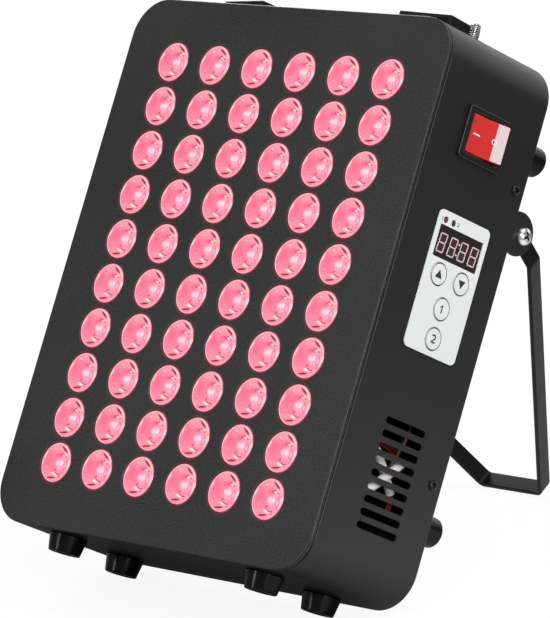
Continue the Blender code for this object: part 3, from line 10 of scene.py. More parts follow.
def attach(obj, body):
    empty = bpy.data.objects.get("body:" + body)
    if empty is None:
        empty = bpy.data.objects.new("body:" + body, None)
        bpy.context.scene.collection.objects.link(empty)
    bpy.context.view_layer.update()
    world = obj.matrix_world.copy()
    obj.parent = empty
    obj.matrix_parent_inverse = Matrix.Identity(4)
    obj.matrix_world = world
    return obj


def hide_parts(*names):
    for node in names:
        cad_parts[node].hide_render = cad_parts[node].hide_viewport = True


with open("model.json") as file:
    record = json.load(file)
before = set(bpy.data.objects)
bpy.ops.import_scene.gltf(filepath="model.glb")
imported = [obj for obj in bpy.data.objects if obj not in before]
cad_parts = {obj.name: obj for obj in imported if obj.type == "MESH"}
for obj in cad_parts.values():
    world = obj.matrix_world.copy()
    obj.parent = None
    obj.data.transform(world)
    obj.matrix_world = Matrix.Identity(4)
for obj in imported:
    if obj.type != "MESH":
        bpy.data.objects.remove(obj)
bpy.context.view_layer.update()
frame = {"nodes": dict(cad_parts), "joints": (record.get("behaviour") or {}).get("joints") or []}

MM = 0.001
TURN = 2 * pi
NODES = frame["nodes"]

# The panel's own frame, in millimetres: x to its right, y into its depth, z up its face
JOINTS = {joint["name"]: joint for joint in frame["joints"]}
PANEL_UP = Vector(JOINTS["rocker_tilt"]["axis"]).normalized()
PANEL_RIGHT = Vector((1, 0, 0))
PANEL_IN = PANEL_UP.cross(PANEL_RIGHT)
PIVOT = (89.2, 60)
PANEL_ORIGIN = Vector(JOINTS["stand_fold"]["pos_m"]) - (PANEL_IN * PIVOT[0] + PANEL_UP * PIVOT[1]) * MM
PANEL = Matrix.Translation(PANEL_ORIGIN) @ Matrix((PANEL_RIGHT, PANEL_IN, PANEL_UP)).transposed().to_4x4()

# Casing
WIDTH = 240
HEIGHT = 300
DEPTH = 83
WALL = WIDTH / 2
ROOF = HEIGHT / 2
CORNER = 22
CORNER_STEPS = 14
SHEET = 1.2
PAN_SHEET = 2
SEAM = 2.9
PAN_LIP_END = 10
PAN_LIP_INSET = 1.6
PAN_EDGE = 1.0
CASING_EDGE = 0.8
HOLE_EDGE = 0.3
OVER = 0.3
REAR_FACE = 82.6
REAR_LIP_END = 70.6
REAR_INSET = 1.5

# Lights
COLUMNS = 6
ROWS = 10
COLUMN_PITCH = 32.65
ROW_PITCH = 25.4
LENS_RADIUS = 11.1
WINDOW_RADIUS = 11.4
LENS_TOP = 0.2
BOARD_FRONT = 13.8
BOARD_MARGIN = 16.1

# Side features, as (depth, height) places
VENT_PLACE = (44.6, -114.3)
VENT_SIZE = (31.2, 3.8)
VENT_PITCH = 7
VENT_COUNT = 9
SWITCH = (41.5, 97.5)
FASCIA = (45.2, 17.8)
FASCIA_SIZE = (41, 74.3)
EAR = (87.1, 60.5)
EAR_RADIUS = 12
SIDE_SCREWS = ((75.8, -81), (75.8, 81))
FAN_MIDDLES = (-44, 44)
FAN_HEIGHT = 30
FAN_HOLE = 35.75
INLET = (72, -118)
SIGNS = {"right": 1, "left": -1}
CORNERS = [(i, j) for i in (-1, 1) for j in (-1, 1)]
M3_SCREW = (1.5, 2.9, 1.8)


# Outlines, as lists of (across, along) points that run anticlockwise


def arc(radius, start, end, steps, middle=(0, 0)):
    """Points from one angle to another, with both ends."""
    angles = [start + (end - start) * step / steps for step in range(steps + 1)]
    return [(middle[0] + radius * cos(a), middle[1] + radius * sin(a)) for a in angles]


def circle(radius, sides=32, middle=(0, 0)):
    return arc(radius, 0, TURN, sides, middle)[:-1]


def rounded_box(width, height, radius, steps=6, middle=(0, 0)):
    points = []
    for quarter, (right, up) in enumerate(((1, 1), (-1, 1), (-1, -1), (1, -1))):
        corner = (middle[0] + right * (width / 2 - radius), middle[1] + up * (height / 2 - radius))
        points += arc(radius, quarter * TURN / 4, (quarter + 1) * TURN / 4, steps, corner)
    return points


def arc_slot(radius, width, start, end, middle, steps=10, end_steps=4):
    """A curved slot with round ends."""
    points = []
    for rim, first, last in ((radius + width / 2, start, end), (radius - width / 2, end, start)):
        points += arc(rim, first, last, steps, middle)
        tip = arc(radius, last, last, 1, middle)[0]
        outward = last + (0 if rim > radius else pi)
        points += arc(width / 2, outward, outward + pi, end_steps, tip)[1:-1]
    return points


def inset(points, distance):
    """The outline drawn in by a distance, or out by a negative one."""
    count = len(points)
    result = []
    for index in range(count):
        before, here, after = (Vector(points[(index + k) % count]) for k in (-1, 0, 1))
        entry = (here - before).normalized()
        leave = (after - here).normalized()
        inward = Vector((-entry.y - leave.y, entry.x + leave.x)).normalized()
        stretch = max(0.4, inward.dot(Vector((-entry.y, entry.x))))
        result.append(tuple(here + inward * distance / stretch))
    return result


def bow(start, middle, end, steps=10):
    """A curve from one point to another, drawn towards the one between."""
    start, middle, end = Vector(start), Vector(middle), Vector(end)
    return [tuple(start * (1 - t) ** 2 + middle * 2 * t * (1 - t) + end * t * t)
            for t in (step / steps for step in range(steps + 1))]


def soften(points, radius, steps=3, closed=True):
    """The outline or profile with its corners rounded off."""
    count = len(points)
    result = []
    for index, point in enumerate(points):
        here = Vector(point)
        if not closed and index in (0, count - 1):
            result.append(tuple(here))
            continue
        back = Vector(points[index - 1]) - here
        ahead = Vector(points[(index + 1) % count]) - here
        start = here + back.normalized() * min(radius, back.length / 2)
        end = here + ahead.normalized() * min(radius, ahead.length / 2)
        result += bow(start, here, end, steps)
    return result


# Solids, in millimetres


class Shape:
    """A mesh that is put together from rings of points."""

    def __init__(self):
        self.mesh = bmesh.new()

    def ring(self, points):
        return [self.mesh.verts.new(point) for point in points]

    def bridge(self, near, far, closed=True):
        count = max(len(near), len(far))
        for index in range(count if closed else count - 1):
            other = (index + 1) % count
            corners = [near[index % len(near)], near[other % len(near)],
                       far[other % len(far)], far[index % len(far)]]
            self.mesh.faces.new(list(dict.fromkeys(corners)))

    def skin(self, sections, closed=True):
        rings = [self.ring(section) for section in sections]
        for near, far in zip(rings, rings[1:]):
            self.bridge(near, far, closed)
        return rings

    def shut(self, sections):
        """Rings joined into a body, with a flat face at each end."""
        rings = self.skin(sections)
        self.mesh.faces.new(rings[0])
        self.mesh.faces.new(rings[-1])
        return self

    def fill(self, rings):
        """A flat face between an outline and its holes."""
        edges = []
        for ring in rings:
            for start, end in zip(ring, ring[1:] + ring[:1]):
                edges.append(self.mesh.edges.get((start, end)) or self.mesh.edges.new((start, end)))
        bmesh.ops.triangle_fill(self.mesh, use_beauty=True, edges=edges)

    def face(self, rims):
        """Two flat faces: between the rims' first rings, and between their last ones."""
        for end in (0, -1):
            self.fill([rim[end] for rim in rims])
        return self

    def add(self, other, *places):
        """Copies of another shape, each at a place."""
        data = other.data()
        for place in places or (Matrix(),):
            copy = data.copy()
            copy.transform(place)
            self.mesh.from_mesh(copy)
            bpy.data.meshes.remove(copy)
        bpy.data.meshes.remove(data)
        return self

    def moved(self, place):
        self.mesh.transform(place)
        return self

    def data(self, name="shape", place=Matrix()):
        bmesh.ops.recalc_face_normals(self.mesh, faces=self.mesh.faces)
        data = bpy.data.meshes.new(name)
        self.mesh.to_mesh(data)
        data.transform(place)
        return data


def quarter_round(size, steps=4):
    """(drawn in, dropped) pairs from a flat face to its wall, round an edge of that size."""
    arcs = [step / steps * pi / 2 for step in range(steps + 1)]
    return [(size * (1 - sin(a)), size * (1 - cos(a))) for a in arcs] if size else [(0, 0)]


def rim_sections(loop, edge, depth, inward=1, steps=3, under=0):
    """The loop at each level of its rim, with the level: rounded above and, where asked, below."""
    levels = quarter_round(edge, steps)
    levels += [(drawn, depth - drop) for drawn, drop in quarter_round(under, steps)[::-1]]
    return [(inset(loop, inward * drawn), drop) for drawn, drop in levels]


def slab(loops, low, high, edge=0.3, under=0, steps=3):
    """A plate between two heights; the first loop is its outline, the others are holes."""
    shape = Shape()
    rims = []
    for number, loop in enumerate(loops):
        sections = rim_sections(loop, edge, high - low, -1 if number else 1, steps, under)
        rims.append(shape.skin([[(*point, high - drop) for point in points] for points, drop in sections]))
    return shape.face(rims)


def turned(profile, sides=32, closed=False):
    """A body of revolution about z, from a profile of (radius, height) points."""
    shape = Shape()
    rings = []
    for radius, height in profile:
        ring = circle(radius, sides) if radius > 0 else [(0, 0)]
        rings.append(shape.ring([(x, y, height) for x, y in ring]))
    for near, far in zip(rings, rings[1:] + (rings[:1] if closed else [])):
        shape.bridge(near, far)
    return shape


def linked(name, data):
    made = bpy.data.objects.new(name, data)
    bpy.context.scene.collection.objects.link(made)
    return made


def combine(target, tool, operation):
    """One shape fused with another, or cut by it."""
    objects = [linked("helper", shape.data()) for shape in (target, tool)]
    boolean = objects[0].modifiers.new("combine", "BOOLEAN")
    boolean.operation = operation
    boolean.solver = "EXACT"
    boolean.object = objects[1]
    worked = objects[0].evaluated_get(bpy.context.evaluated_depsgraph_get())
    result = bpy.data.meshes.new_from_object(worked)
    for helper in objects:
        bpy.data.objects.remove(helper)
    shape = Shape()
    shape.mesh.from_mesh(result)
    bpy.data.meshes.remove(result)
    return shape


# Places on the panel: a side's own z axis points out of it, and its y axis up

SIDES = {
    "front": ((1, 0, 0), (0, 0, 1), (0, -1, 0)),
    "back": ((-1, 0, 0), (0, 0, 1), (0, 1, 0)),
    "right": ((0, 1, 0), (0, 0, 1), (1, 0, 0)),
    "left": ((0, -1, 0), (0, 0, 1), (-1, 0, 0)),
}


def on(side, x, y, z):
    return Matrix.Translation((x, y, z)) @ Matrix(SIDES[side]).transposed().to_4x4()


def at(x, y, z=0):
    return Matrix.Translation((x, y, z))


def spun(angle, axis="Z"):
    return Matrix.Rotation(angle, 4, axis)


LOOKS = {}


def piece(name, shape, look, body="panel", nodes=(), smooth=35):
    """A named piece of the lamp that rides on a body and stands for CAD nodes."""
    data = shape.data(name, PANEL @ Matrix.Scale(MM, 4))
    data.materials.append(LOOKS[look])
    data.shade_smooth()
    data.set_sharp_from_angle(angle=radians(smooth))
    made = linked(name, data)
    normals = made.modifiers.new("flat faces stay flat", "WEIGHTED_NORMAL")
    normals.keep_sharp = True
    if nodes:
        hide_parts(*nodes)
    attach(made, body)


def pieces(name, node, shape, places, look, smooth=35):
    """Numbered copies of a shape, each for the CAD node of its number."""
    for number, place in enumerate(places, 1):
        piece(f"{name}_{number}", Shape().add(shape, place), look, "panel", [f"{node}_{number}"], smooth)


# Materials


class Nodes:
    """A node tree, with short calls for the nodes that the looks share."""

    def __init__(self, owner):
        owner.use_nodes = True
        self.tree = owner.node_tree

    def set(self, node, values):
        for key, value in values.items():
            if isinstance(value, bpy.types.NodeSocket):
                self.tree.links.new(value, node.inputs[key])
            else:
                node.inputs[key].default_value = value
        return node

    def node(self, kind, values=(), **settings):
        node = self.tree.nodes.new("ShaderNode" + kind)
        for key, value in settings.items():
            setattr(node, key, value)
        return self.set(node, dict(values))

    def math(self, operation, *values):
        return self.node("Math", enumerate(values), operation=operation).outputs[0]

    def spread(self, value, low, high, start=0.0, end=1.0, smooth=False):
        """A value carried from one range to another."""
        form = "SMOOTHSTEP" if smooth else "LINEAR"
        values = enumerate((value, start, end, low, high))
        return self.node("MapRange", values, interpolation_type=form).outputs[0]

    def mix(self, factor, first, second):
        """Two colours mixed; a node of this kind has them as its inputs 6 and 7."""
        first, second = [value if isinstance(value, bpy.types.NodeSocket) else (*value, 1)
                         for value in (first, second)]
        return self.node("Mix", {0: factor, 6: first, 7: second}, data_type="RGBA").outputs[2]

    def length(self, vector):
        return self.node("VectorMath", {0: vector}, operation="LENGTH").outputs["Value"]

    def reach(self, place, middle, size, angle=0.0):
        """How far a place is from the middle of a turned ellipse: 1 on its rim."""
        values = enumerate((place, (*middle, 0), (0, 0, radians(angle)), (*size, 1)))
        return self.length(self.node("Mapping", values, vector_type="TEXTURE").outputs[0])


class Look(Nodes):
    """A material, with its place on the panel."""

    def __init__(self, name, colour, roughness, values=()):
        LOOKS[name] = self.material = bpy.data.materials.new(name)
        super().__init__(self.material)
        self.shader = self.tree.nodes["Principled BSDF"]
        self.set(self.shader, {"Base Color": (*colour, 1), "Roughness": roughness, **dict(values)})
        onto_panel = PANEL.inverted()
        values = self.node("TexCoord").outputs["Object"], onto_panel.translation, onto_panel.to_euler()
        self.place = self.node("Mapping", enumerate(values)).outputs[0]

    def noise(self, scale, detail=3.0, roughness=0.5, vector=None):
        values = {"Vector": vector or self.place, "Scale": scale, "Detail": detail, "Roughness": roughness}
        return self.node("TexNoise", values).outputs["Fac"]

    def surface(self, colour, roughness, height, depth, strength):
        """Colour, roughness and a relief with its depth in millimetres."""
        bump = self.node("Bump", {"Height": height, "Distance": depth * MM, "Strength": strength})
        self.set(self.shader, {"Base Color": colour, "Roughness": roughness, "Normal": bump.outputs[0]})


def coat(name, colour, roughness, grain, depth, shade=0.12, specular=0.35):
    """Painted or moulded surface with a fine grain, faint clouds and slightly uneven gloss."""
    look = Look(name, colour, roughness, {"Specular IOR Level": specular})
    fine = look.noise(grain, 2, 0.6)
    clouds = look.noise(9, 3, 0.55)
    low, high = [[channel * level for channel in colour] for level in (1 - shade, 1 + shade)]
    tone = look.math("ADD", look.math("MULTIPLY", fine, 0.7), look.math("MULTIPLY", clouds, 0.3))
    look.surface(look.mix(look.spread(tone, 0, 1, 0.3, 0.7), low, high),
                 look.spread(clouds, roughness * 0.9, roughness * 1.1, 0.3, 0.7), fine, depth, 0.6)
    return look


def metal(name, colour, roughness, brush, direction=(1, 1, 1)):
    """Bare or plated metal with fine marks along one direction."""
    look = Look(name, colour, roughness, {"Metallic": 1})
    stretch = look.node("Mapping", {"Vector": look.place, "Scale": direction}).outputs[0]
    marks = look.noise(300, 3, 0.6, stretch)
    spots = look.noise(60, 2, 0.5)
    look.surface(look.mix(look.spread(spots, 0, 1, 0.35, 0.65), [c * 0.9 for c in colour], colour),
                 look.spread(marks, roughness * 0.75, roughness * 1.35, 0.3, 0.7), marks, brush, 0.5)


def lens_coordinates(look):
    """Place on the nearest lens, in lens radii: across and up from its middle."""
    split = look.node("SeparateXYZ", {"Vector": look.place}).outputs
    found = []
    for axis, pitch in (("X", COLUMN_PITCH), ("Z", ROW_PITCH)):
        wrapped = look.math("WRAP", split[axis], pitch * MM, 0)
        centred = look.math("SUBTRACT", wrapped, pitch * MM / 2)
        found.append(look.math("DIVIDE", centred, LENS_RADIUS * MM))
    return look.node("CombineXYZ", enumerate(found)).outputs[0]


class LensLook(Look):
    """Glow of one collimator lens: smooth fields and a few painted reflections and highlights, placed in
    lens radii.
    """

    def __init__(self, name):
        super().__init__(name, (0.10, 0.008, 0.016), 0.2, {"Coat Weight": 0.25, "Coat Roughness": 0.03})
        self.spot = lens_coordinates(self)
        self.light = srgb(255, 130, 158)

    def blob(self, middle, half_length, half_width, angle, soft):
        """1 inside a turned ellipse, falling to 0 at its rim."""
        reach = self.reach(self.spot, middle, (half_length, half_width), angle)
        return self.spread(reach, 1, 0, 1 - soft, 1, smooth=True)

    def ring(self, middle, radius, half_width, scale=(1, 1)):
        """1 on a ring, falling to 0 on both sides."""
        off = self.math("ABSOLUTE", self.math("SUBTRACT", self.reach(self.spot, middle, scale), radius))
        return self.spread(off, 1, 0, 0, half_width, smooth=True)

    def lay(self, mask, tint, strength=1):
        """Light of one colour, laid over what is there."""
        self.light = self.mix(self.math("MULTIPLY", mask, strength), self.light, srgb(*tint))


def srgb(red, green, blue):
    return tuple((channel / 255 / 12.92) if channel < 10.3 else ((channel / 255 + 0.055) / 1.055) ** 2.4
                 for channel in (red, green, blue))


# What shows in one lit lens, in lens radii: the lamp's pink glow with painted highlights, painted
# reflections and painted dark streaks laid over it, fixed in place. Fields and painted reflections: middle,
# half length, half width,
# turn, softness, colour, strength. Rings: middle, radius, half width, stretch, colour, strength
LENS_FIELDS = [
    ((-0.02, 0.8), 0.95, 0.55, 0, 0.9, (250, 162, 178), 0.9),
    ((-0.45, -0.66), 0.75, 0.45, 0, 0.9, (250, 154, 172), 0.8),
    ((0.53, -0.74), 0.75, 0.45, 0, 0.9, (250, 168, 184), 0.95),
    ((-0.53, 0.14), 0.38, 0.5, 0, 0.9, (255, 108, 142), 0.9),
    ((0.06, 0.38), 0.34, 0.22, 0, 0.9, (255, 106, 146), 0.9),
    ((0.5, -0.06), 0.62, 0.5, 0, 0.7, (253, 184, 204), 1),
    ((0.93, -0.12), 0.24, 0.46, 0, 0.8, (255, 232, 232), 1),
]
LENS_RINGS = [
    ((0.67, -0.1), 0.11, 0.055, (1, 1.75), (232, 98, 150), 0.75),
    ((0.62, -0.13), 0.215, 0.055, (1, 1.45), (236, 120, 164), 0.6),
    ((0, 0), 0.955, 0.06, (1, 1), (250, 184, 196), 0.9),
]
# Painted highlights and painted dark reflections, bright and dark marks fixed on each lens
LENS_PAINTED_REFLECTIONS = [
    ((0.15, 0), 0.21, 0.19, 0, 0.8, (254, 228, 238), 1),
    ((0.38, 0), 0.19, 0.19, 0, 0.8, (254, 232, 242), 1),
    ((0.3, 0), 0.035, 0.14, 0, 0.9, (208, 186, 208), 0.8),
    ((0.215, 0.39), 0.085, 0.13, -25, 0.7, (220, 56, 104), 0.95),
    ((0.08, -0.36), 0.08, 0.13, -30, 0.7, (218, 56, 100), 0.95),
    ((-0.835, 0.26), 0.3, 0.065, 70, 0.9, (255, 226, 234), 1),
    ((0.38, 0.7), 0.36, 0.075, -31, 0.5, (120, 18, 38), 1),
    ((0.1, 0.86), 0.09, 0.03, -15, 0.8, (190, 150, 150), 0.7),
    ((-0.05, -0.775), 0.38, 0.065, 7, 0.5, (124, 14, 34), 1),
    ((0.56, 0.45), 0.22, 0.05, -23, 0.7, (254, 232, 226), 1),
    ((0.44, 0.37), 0.14, 0.06, -25, 0.6, (240, 232, 222), 1),
    ((0.355, 0.465), 0.1, 0.035, -18, 0.7, (52, 30, 34), 1),
    ((0.585, 0.335), 0.09, 0.04, -20, 0.7, (100, 84, 76), 1),
    ((0.7, 0.29), 0.1, 0.03, -10, 0.8, (244, 216, 208), 0.9),
    ((0.1, -0.575), 0.27, 0.08, -13, 0.6, (255, 246, 240), 1),
    ((0.225, -0.525), 0.13, 0.04, -38, 0.7, (78, 36, 44), 1),
    ((0.42, -0.56), 0.17, 0.04, 0, 0.7, (118, 38, 50), 1),
    ((0.46, -0.675), 0.16, 0.06, 22, 0.9, (212, 96, 118), 0.85),
    ((-0.28, 0.655), 0.09, 0.07, -30, 0.9, (255, 218, 228), 1),
    ((-0.32, 0.56), 0.12, 0.03, -27, 0.8, (228, 88, 122), 0.8),
    ((-0.5, -0.305), 0.07, 0.06, 0, 0.9, (255, 196, 206), 0.8),
    ((-0.53, -0.42), 0.09, 0.045, 0, 0.8, (206, 108, 130), 0.8),
]


def lens_light():
    look = LensLook("lens_pink")
    for *form, tint, strength in LENS_FIELDS:
        look.lay(look.blob(*form), tint, strength)
    for *form, tint, strength in LENS_RINGS:
        look.lay(look.ring(*form), tint, strength)
    # a painted reflection: a pale crescent just inside the lens rim
    crescent = look.ring((0, 0), 0.90, 0.12), look.blob((0.62, 0.70), 0.62, 0.48, -40, 0.6)
    look.lay(look.math("MULTIPLY", *crescent), (250, 204, 212))
    # painted highlights and painted dark reflections laid over the glow
    for *form, tint, strength in LENS_PAINTED_REFLECTIONS:
        look.lay(look.blob(*form), tint, strength)
    rim = look.math("MULTIPLY", look.spread(look.length(look.spot), 1, 0.25, 0.96, 1), 0.92)
    look.set(look.shader, {"Emission Color": look.light, "Emission Strength": rim})


def front_coat():
    """Textured powder coat, with a faint red glow painted round each window."""
    look = coat("front_coat", (0.0128, 0.0129, 0.0129), 0.38, 850, 0.12, 0.9, 0.3)
    # painted light: a faint red emission on the plate round each window, for the lamps' light spilling onto
    # it
    glow = look.spread(look.length(lens_coordinates(look)), 1, 0, 1, 1.16, smooth=True)
    split = look.node("SeparateXYZ", {"Vector": look.place}).outputs
    for axis, reach in (("X", COLUMNS * COLUMN_PITCH / 2), ("Z", ROWS * ROW_PITCH / 2)):
        within = look.math("LESS_THAN", look.math("ABSOLUTE", split[axis]), reach * MM)
        glow = look.math("MULTIPLY", glow, within)
    look.set(look.shader, {"Emission Color": (0.09, 0.004, 0.010, 1), "Emission Strength": glow})


# Colour, roughness, grain, its depth in mm and, where they aren't the usual ones, shade and specular level
COATS = {
    "casing_coat": ((0.0085, 0.0085, 0.0086), 0.38, 1600, 0.02, 0.35, 0.3),
    "black_screw": ((0.005,) * 3, 0.3, 900, 0.01, 0.12, 0.25),
    "fan_plastic": ((0.012, 0.012, 0.013), 0.45, 1500, 0.01),
    "black_plastic": ((0.006, 0.006, 0.0065), 0.22, 1200, 0.004),
    "black_rubber": ((0.0022,) * 3, 0.2, 700, 0.004, 0.12, 0.14),
    "stand_coat": ((0.0035, 0.0035, 0.0034), 0.38, 1600, 0.02, 0.25, 0.12),
    "strap_coat": ((0.0045,) * 3, 0.45, 1600, 0.02, 0.25, 0.15),
    "rocker_red": (srgb(190, 42, 38), 0.3, 500, 0.004, 0.05),
    # painted highlight: the colour of the glare on the rocker's rear slope
    "rocker_painted_glare": (srgb(204, 188, 190), 0.3, 300, 0.004, 0.03),
    "fascia_grey": (srgb(214, 218, 216), 0.45, 1500, 0.004, 0.02),
    "key_grey": (srgb(213, 217, 215), 0.5, 1500, 0.004, 0.02),
    "display_black": ((0.016, 0.011, 0.013), 0.3, 300, 0.001, 0.12, 0.2),
    "ink_black": ((0.02, 0.02, 0.021), 0.5, 900, 0.002),
    "ink_white": ((0.85, 0.82, 0.80), 0.5, 900, 0.002, 0.03),
    "segment_pale": (srgb(205, 186, 188), 0.4, 900, 0.002, 0.08),
    "segment_dark": (srgb(60, 26, 30), 0.4, 900, 0.002, 0.08),
    "lamp_red": (srgb(92, 34, 38), 0.2, 900, 0.002),
    "lamp_dark": (srgb(40, 40, 44), 0.2, 900, 0.002),
    "board_green": ((0.02, 0.13, 0.06), 0.35, 700, 0.004, 0.15),
    "terminal_white": ((0.78, 0.78, 0.76), 0.4, 900, 0.004, 0.04),
    "wire_red": ((0.16, 0.014, 0.011), 0.4, 900, 0.004, 0.06),
    "wire_white": ((0.74, 0.74, 0.72), 0.4, 900, 0.004, 0.04),
    "wire_black": ((0.02,) * 3, 0.4, 900, 0.004),
}
# Colour, roughness, depth of the marks in mm and their stretch
METALS = {
    "bare_aluminium": ((0.62, 0.63, 0.64), 0.38, 0.01, (1, 1, 0.02)),
    "plated_steel": ((0.72, 0.72, 0.73), 0.18, 0.004),
    "supply_case": ((0.66, 0.67, 0.67), 0.35, 0.006, (0.03, 1, 1)),
}


def make_looks():
    front_coat()
    lens_light()
    for name, values in COATS.items():
        coat(name, *values)
    for name, values in METALS.items():
        metal(name, *values)


# Casing


def panel_outline(drawn=0):
    return rounded_box(WIDTH - 2 * drawn, HEIGHT - 2 * drawn, CORNER - drawn, CORNER_STEPS)


def lens_places():
    return [((i - (COLUMNS - 1) / 2) * COLUMN_PITCH, (j - (ROWS - 1) / 2) * ROW_PITCH)
            for j in range(ROWS) for i in range(COLUMNS)]


def panel_skin(shape, profile):
    """Rings round the panel, from a profile of (drawn in, depth) points."""
    return shape.skin([[(x, y, z) for x, z in panel_outline(drawn)] for drawn, y in profile])


def hole_rims(shape, holes, put):
    """Walls of holes through the sheet, with soft outer edges."""
    return [shape.skin([[put(drop, *point) for point in points]
                        for points, drop in rim_sections(hole, HOLE_EDGE, SHEET, -1)]) for hole in holes]


def front_pan():
    """Folded front pan: rounded rim, 60 windows with soft edges, and the lip inside the housing."""
    shape = Shape()
    fold = PAN_LIP_INSET + SHEET
    rims = [panel_skin(shape, [*quarter_round(PAN_EDGE, 5), (0, PAN_SHEET), (PAN_LIP_INSET, PAN_SHEET),
                               (PAN_LIP_INSET, PAN_LIP_END), (fold, PAN_LIP_END), (fold, PAN_SHEET)])]
    for place in lens_places():
        rims.append(shape.skin([[(x, y, z) for x, z in circle(WINDOW_RADIUS + drawn, 40, place)]
                                for drawn, y in [*quarter_round(0.35, 3), (0, PAN_SHEET)]]))
    piece("front_pan", shape.face(rims), "front_coat", nodes=["front_plate"], smooth=40)


def lens_field():
    """The 60 collimator lenses on their board."""
    depth = BOARD_FRONT - LENS_TOP
    lens = turned([(0, 0), (10.2, 0), (10.35, -0.12), (10.5, -0.12), (10.62, 0), (10.85, 0),
                   (LENS_RADIUS, -0.25), (LENS_RADIUS, -1.2), (10.4, -1.6), (9.2, -5), (7.4, -9.5),
                   (5.4, -depth), (0, -depth)], 36)
    field = Shape().add(lens, *[on("front", x, LENS_TOP, z) for x, z in lens_places()])
    piece("lens_field", field, "lens_pink", nodes=["led_board"], smooth=30)
    size = [2 * ((count - 1) * pitch / 2 + BOARD_MARGIN)
            for count, pitch in ((COLUMNS, COLUMN_PITCH), (ROWS, ROW_PITCH))]
    studs = [circle(2.2, 16, (i * 2 * COLUMN_PITCH, j * 4 * ROW_PITCH)) for i, j in CORNERS]
    board = slab([rounded_box(*size, 3), *studs], -1.6, 0, 0.15)
    piece("light_board", board.moved(on("front", 0, BOARD_FRONT + 0.02, 0)), "board_green")


def side_edges(drawn=0):
    """Front and rear edge of a side wall, with the ear, as (depth, height) points."""
    straight = ROOF - CORNER
    reach = acos((DEPTH - EAR[0]) / EAR_RADIUS)
    outline = [(SEAM, ROOF), (SEAM, straight), (SEAM, -straight), (SEAM, -ROOF),
               (DEPTH, -ROOF), (DEPTH, -straight), *arc(EAR_RADIUS, -reach, reach, 32, EAR),
               (DEPTH, straight), (DEPTH, ROOF)]
    points = inset(outline, drawn)
    return points[1:3], points[5:-1]


def side_holes(side):
    vent = (*VENT_SIZE, VENT_SIZE[1] / 2 - 0.01, 6)
    holes = [rounded_box(*vent, (VENT_PLACE[0], VENT_PLACE[1] + i * VENT_PITCH)) for i in range(VENT_COUNT)]
    holes += [circle(1.8, 12, place) for place in SIDE_SCREWS] + [circle(2.8, 16, PIVOT)]
    if side > 0:
        holes += [rounded_box(31.2, 26, 1, 2, SWITCH), rounded_box(38.6, 71.9, 2.8, 3, FASCIA)]
    return holes


def casing_shell():
    """Wrap-around housing with its ears, vents and openings, its edges slightly rounded."""
    shape = Shape()
    rounding = quarter_round(CASING_EDGE, 3)
    for side in (1, -1):
        levels = [(drawn, side * (WALL - drop)) for drawn, drop in [*rounding, (0, SHEET)]]
        front, rear = [shape.skin([[(x, *point) for point in side_edges(drawn)[part]]
                                   for drawn, x in levels], closed=False) for part in (0, 1)]
        rims = hole_rims(shape, side_holes(side), lambda drop, y, z: (side * (WALL - drop), y, z))
        shape.face([(front[0] + rear[0], front[-1] + rear[-1]), *rims])
    profile = [(drop, SEAM + drawn) for drawn, drop in rounding[::-1]]
    profile += [(drop, DEPTH - drawn) for drawn, drop in rounding]
    profile += [(SHEET, DEPTH), (SHEET, SEAM), profile[0]]
    span = 2 * (CORNER_STEPS + 1)
    for half in (0, 1):
        shape.skin([[(x, y, z) for x, z in panel_outline(drop)[half * span:(half + 1) * span]]
                    for drop, y in profile], closed=False)
    bmesh.ops.remove_doubles(shape.mesh, verts=shape.mesh.verts, dist=0.001)
    piece("casing_shell", shape, "casing_coat", nodes=["housing"], smooth=40)


def rear_shell():
    """Rear pan with a bent rim, two fan grilles and the inlet's opening."""
    shape = Shape()
    bend = 1.8
    inner = REAR_INSET + SHEET
    profile = [(REAR_INSET + drawn, REAR_FACE - drop) for drawn, drop in quarter_round(bend, 5)]
    profile += [(REAR_INSET, REAR_LIP_END), (inner, REAR_LIP_END)]
    profile += [(inner + drawn, REAR_FACE - SHEET - drop)
                for drawn, drop in quarter_round(bend - SHEET, 2)[::-1]]
    rims = [panel_skin(shape, profile)]
    holes = [rounded_box(27.6, 20.2, 1, 2, INLET)]
    for middle in FAN_MIDDLES:
        for number, radius in enumerate((17, 25, 33)):
            margin = 5 / radius
            for quarter in range(4):
                start = (quarter + number % 2 / 2) * TURN / 4
                holes.append(arc_slot(radius, 5, start + margin, start + TURN / 4 - margin,
                                      (middle, FAN_HEIGHT)))
    rims += hole_rims(shape, holes, lambda drop, x, z: (x, REAR_FACE - drop, z))
    piece("rear_shell", shape.face(rims), "casing_coat", nodes=["rear_cover"], smooth=40)


# Fasteners, feet and straps


def cross_recess(radius, width, top, depth):
    """Tool for a cross recess that narrows downwards."""
    sections = []
    for share, height in ((1.15, top + 1), (1, top), (0.45, top - depth)):
        half = width / 2 * (0.6 + 0.4 * share)
        arm = [Vector(point) for point in ((radius * share, -half), (radius * share, half), (half, half))]
        turns = [Matrix.Rotation(quarter * TURN / 4, 2) for quarter in range(4)]
        sections.append([(*(turn @ point), height) for turn in turns for point in arm])
    return Shape().shut(sections)


def pan_head(radius, head_radius, head_height, length, sides=32):
    """Pan-head screw with a cross recess; its head starts at zero."""
    dome = [(head_radius * sin(a), head_height * cos(a) ** 0.8)
            for a in (step / 8 * pi / 2 for step in range(1, 8))]
    head = turned([(0, head_height), *dome, (head_radius, 0.35), (head_radius, 0), (radius, 0),
                   (radius, -length), (0, -length)], sides)
    recess = cross_recess(head_radius * 0.62, head_radius * 0.3, head_height, head_height * 0.75)
    return combine(head, recess, "DIFFERENCE")


def fasteners():
    places = [on(side, sign * WALL, *place) for side, sign in SIGNS.items() for place in SIDE_SCREWS]
    places = [place @ spun(0.4 + number) for number, place in enumerate(places, 1)]
    pieces("side_bolt", "side_screw", pan_head(*M3_SCREW, 6), places, "black_screw")
    places = [on(side, sign * (WALL + OVER), PIVOT[0] + 1.6, PIVOT[1] + 0.3) @ spun(0.5)
              for side, sign in SIGNS.items()]
    pieces("hinge_screw", "pivot_screw", pan_head(2.5, 5, 3.8, 14), places, "plated_steel")


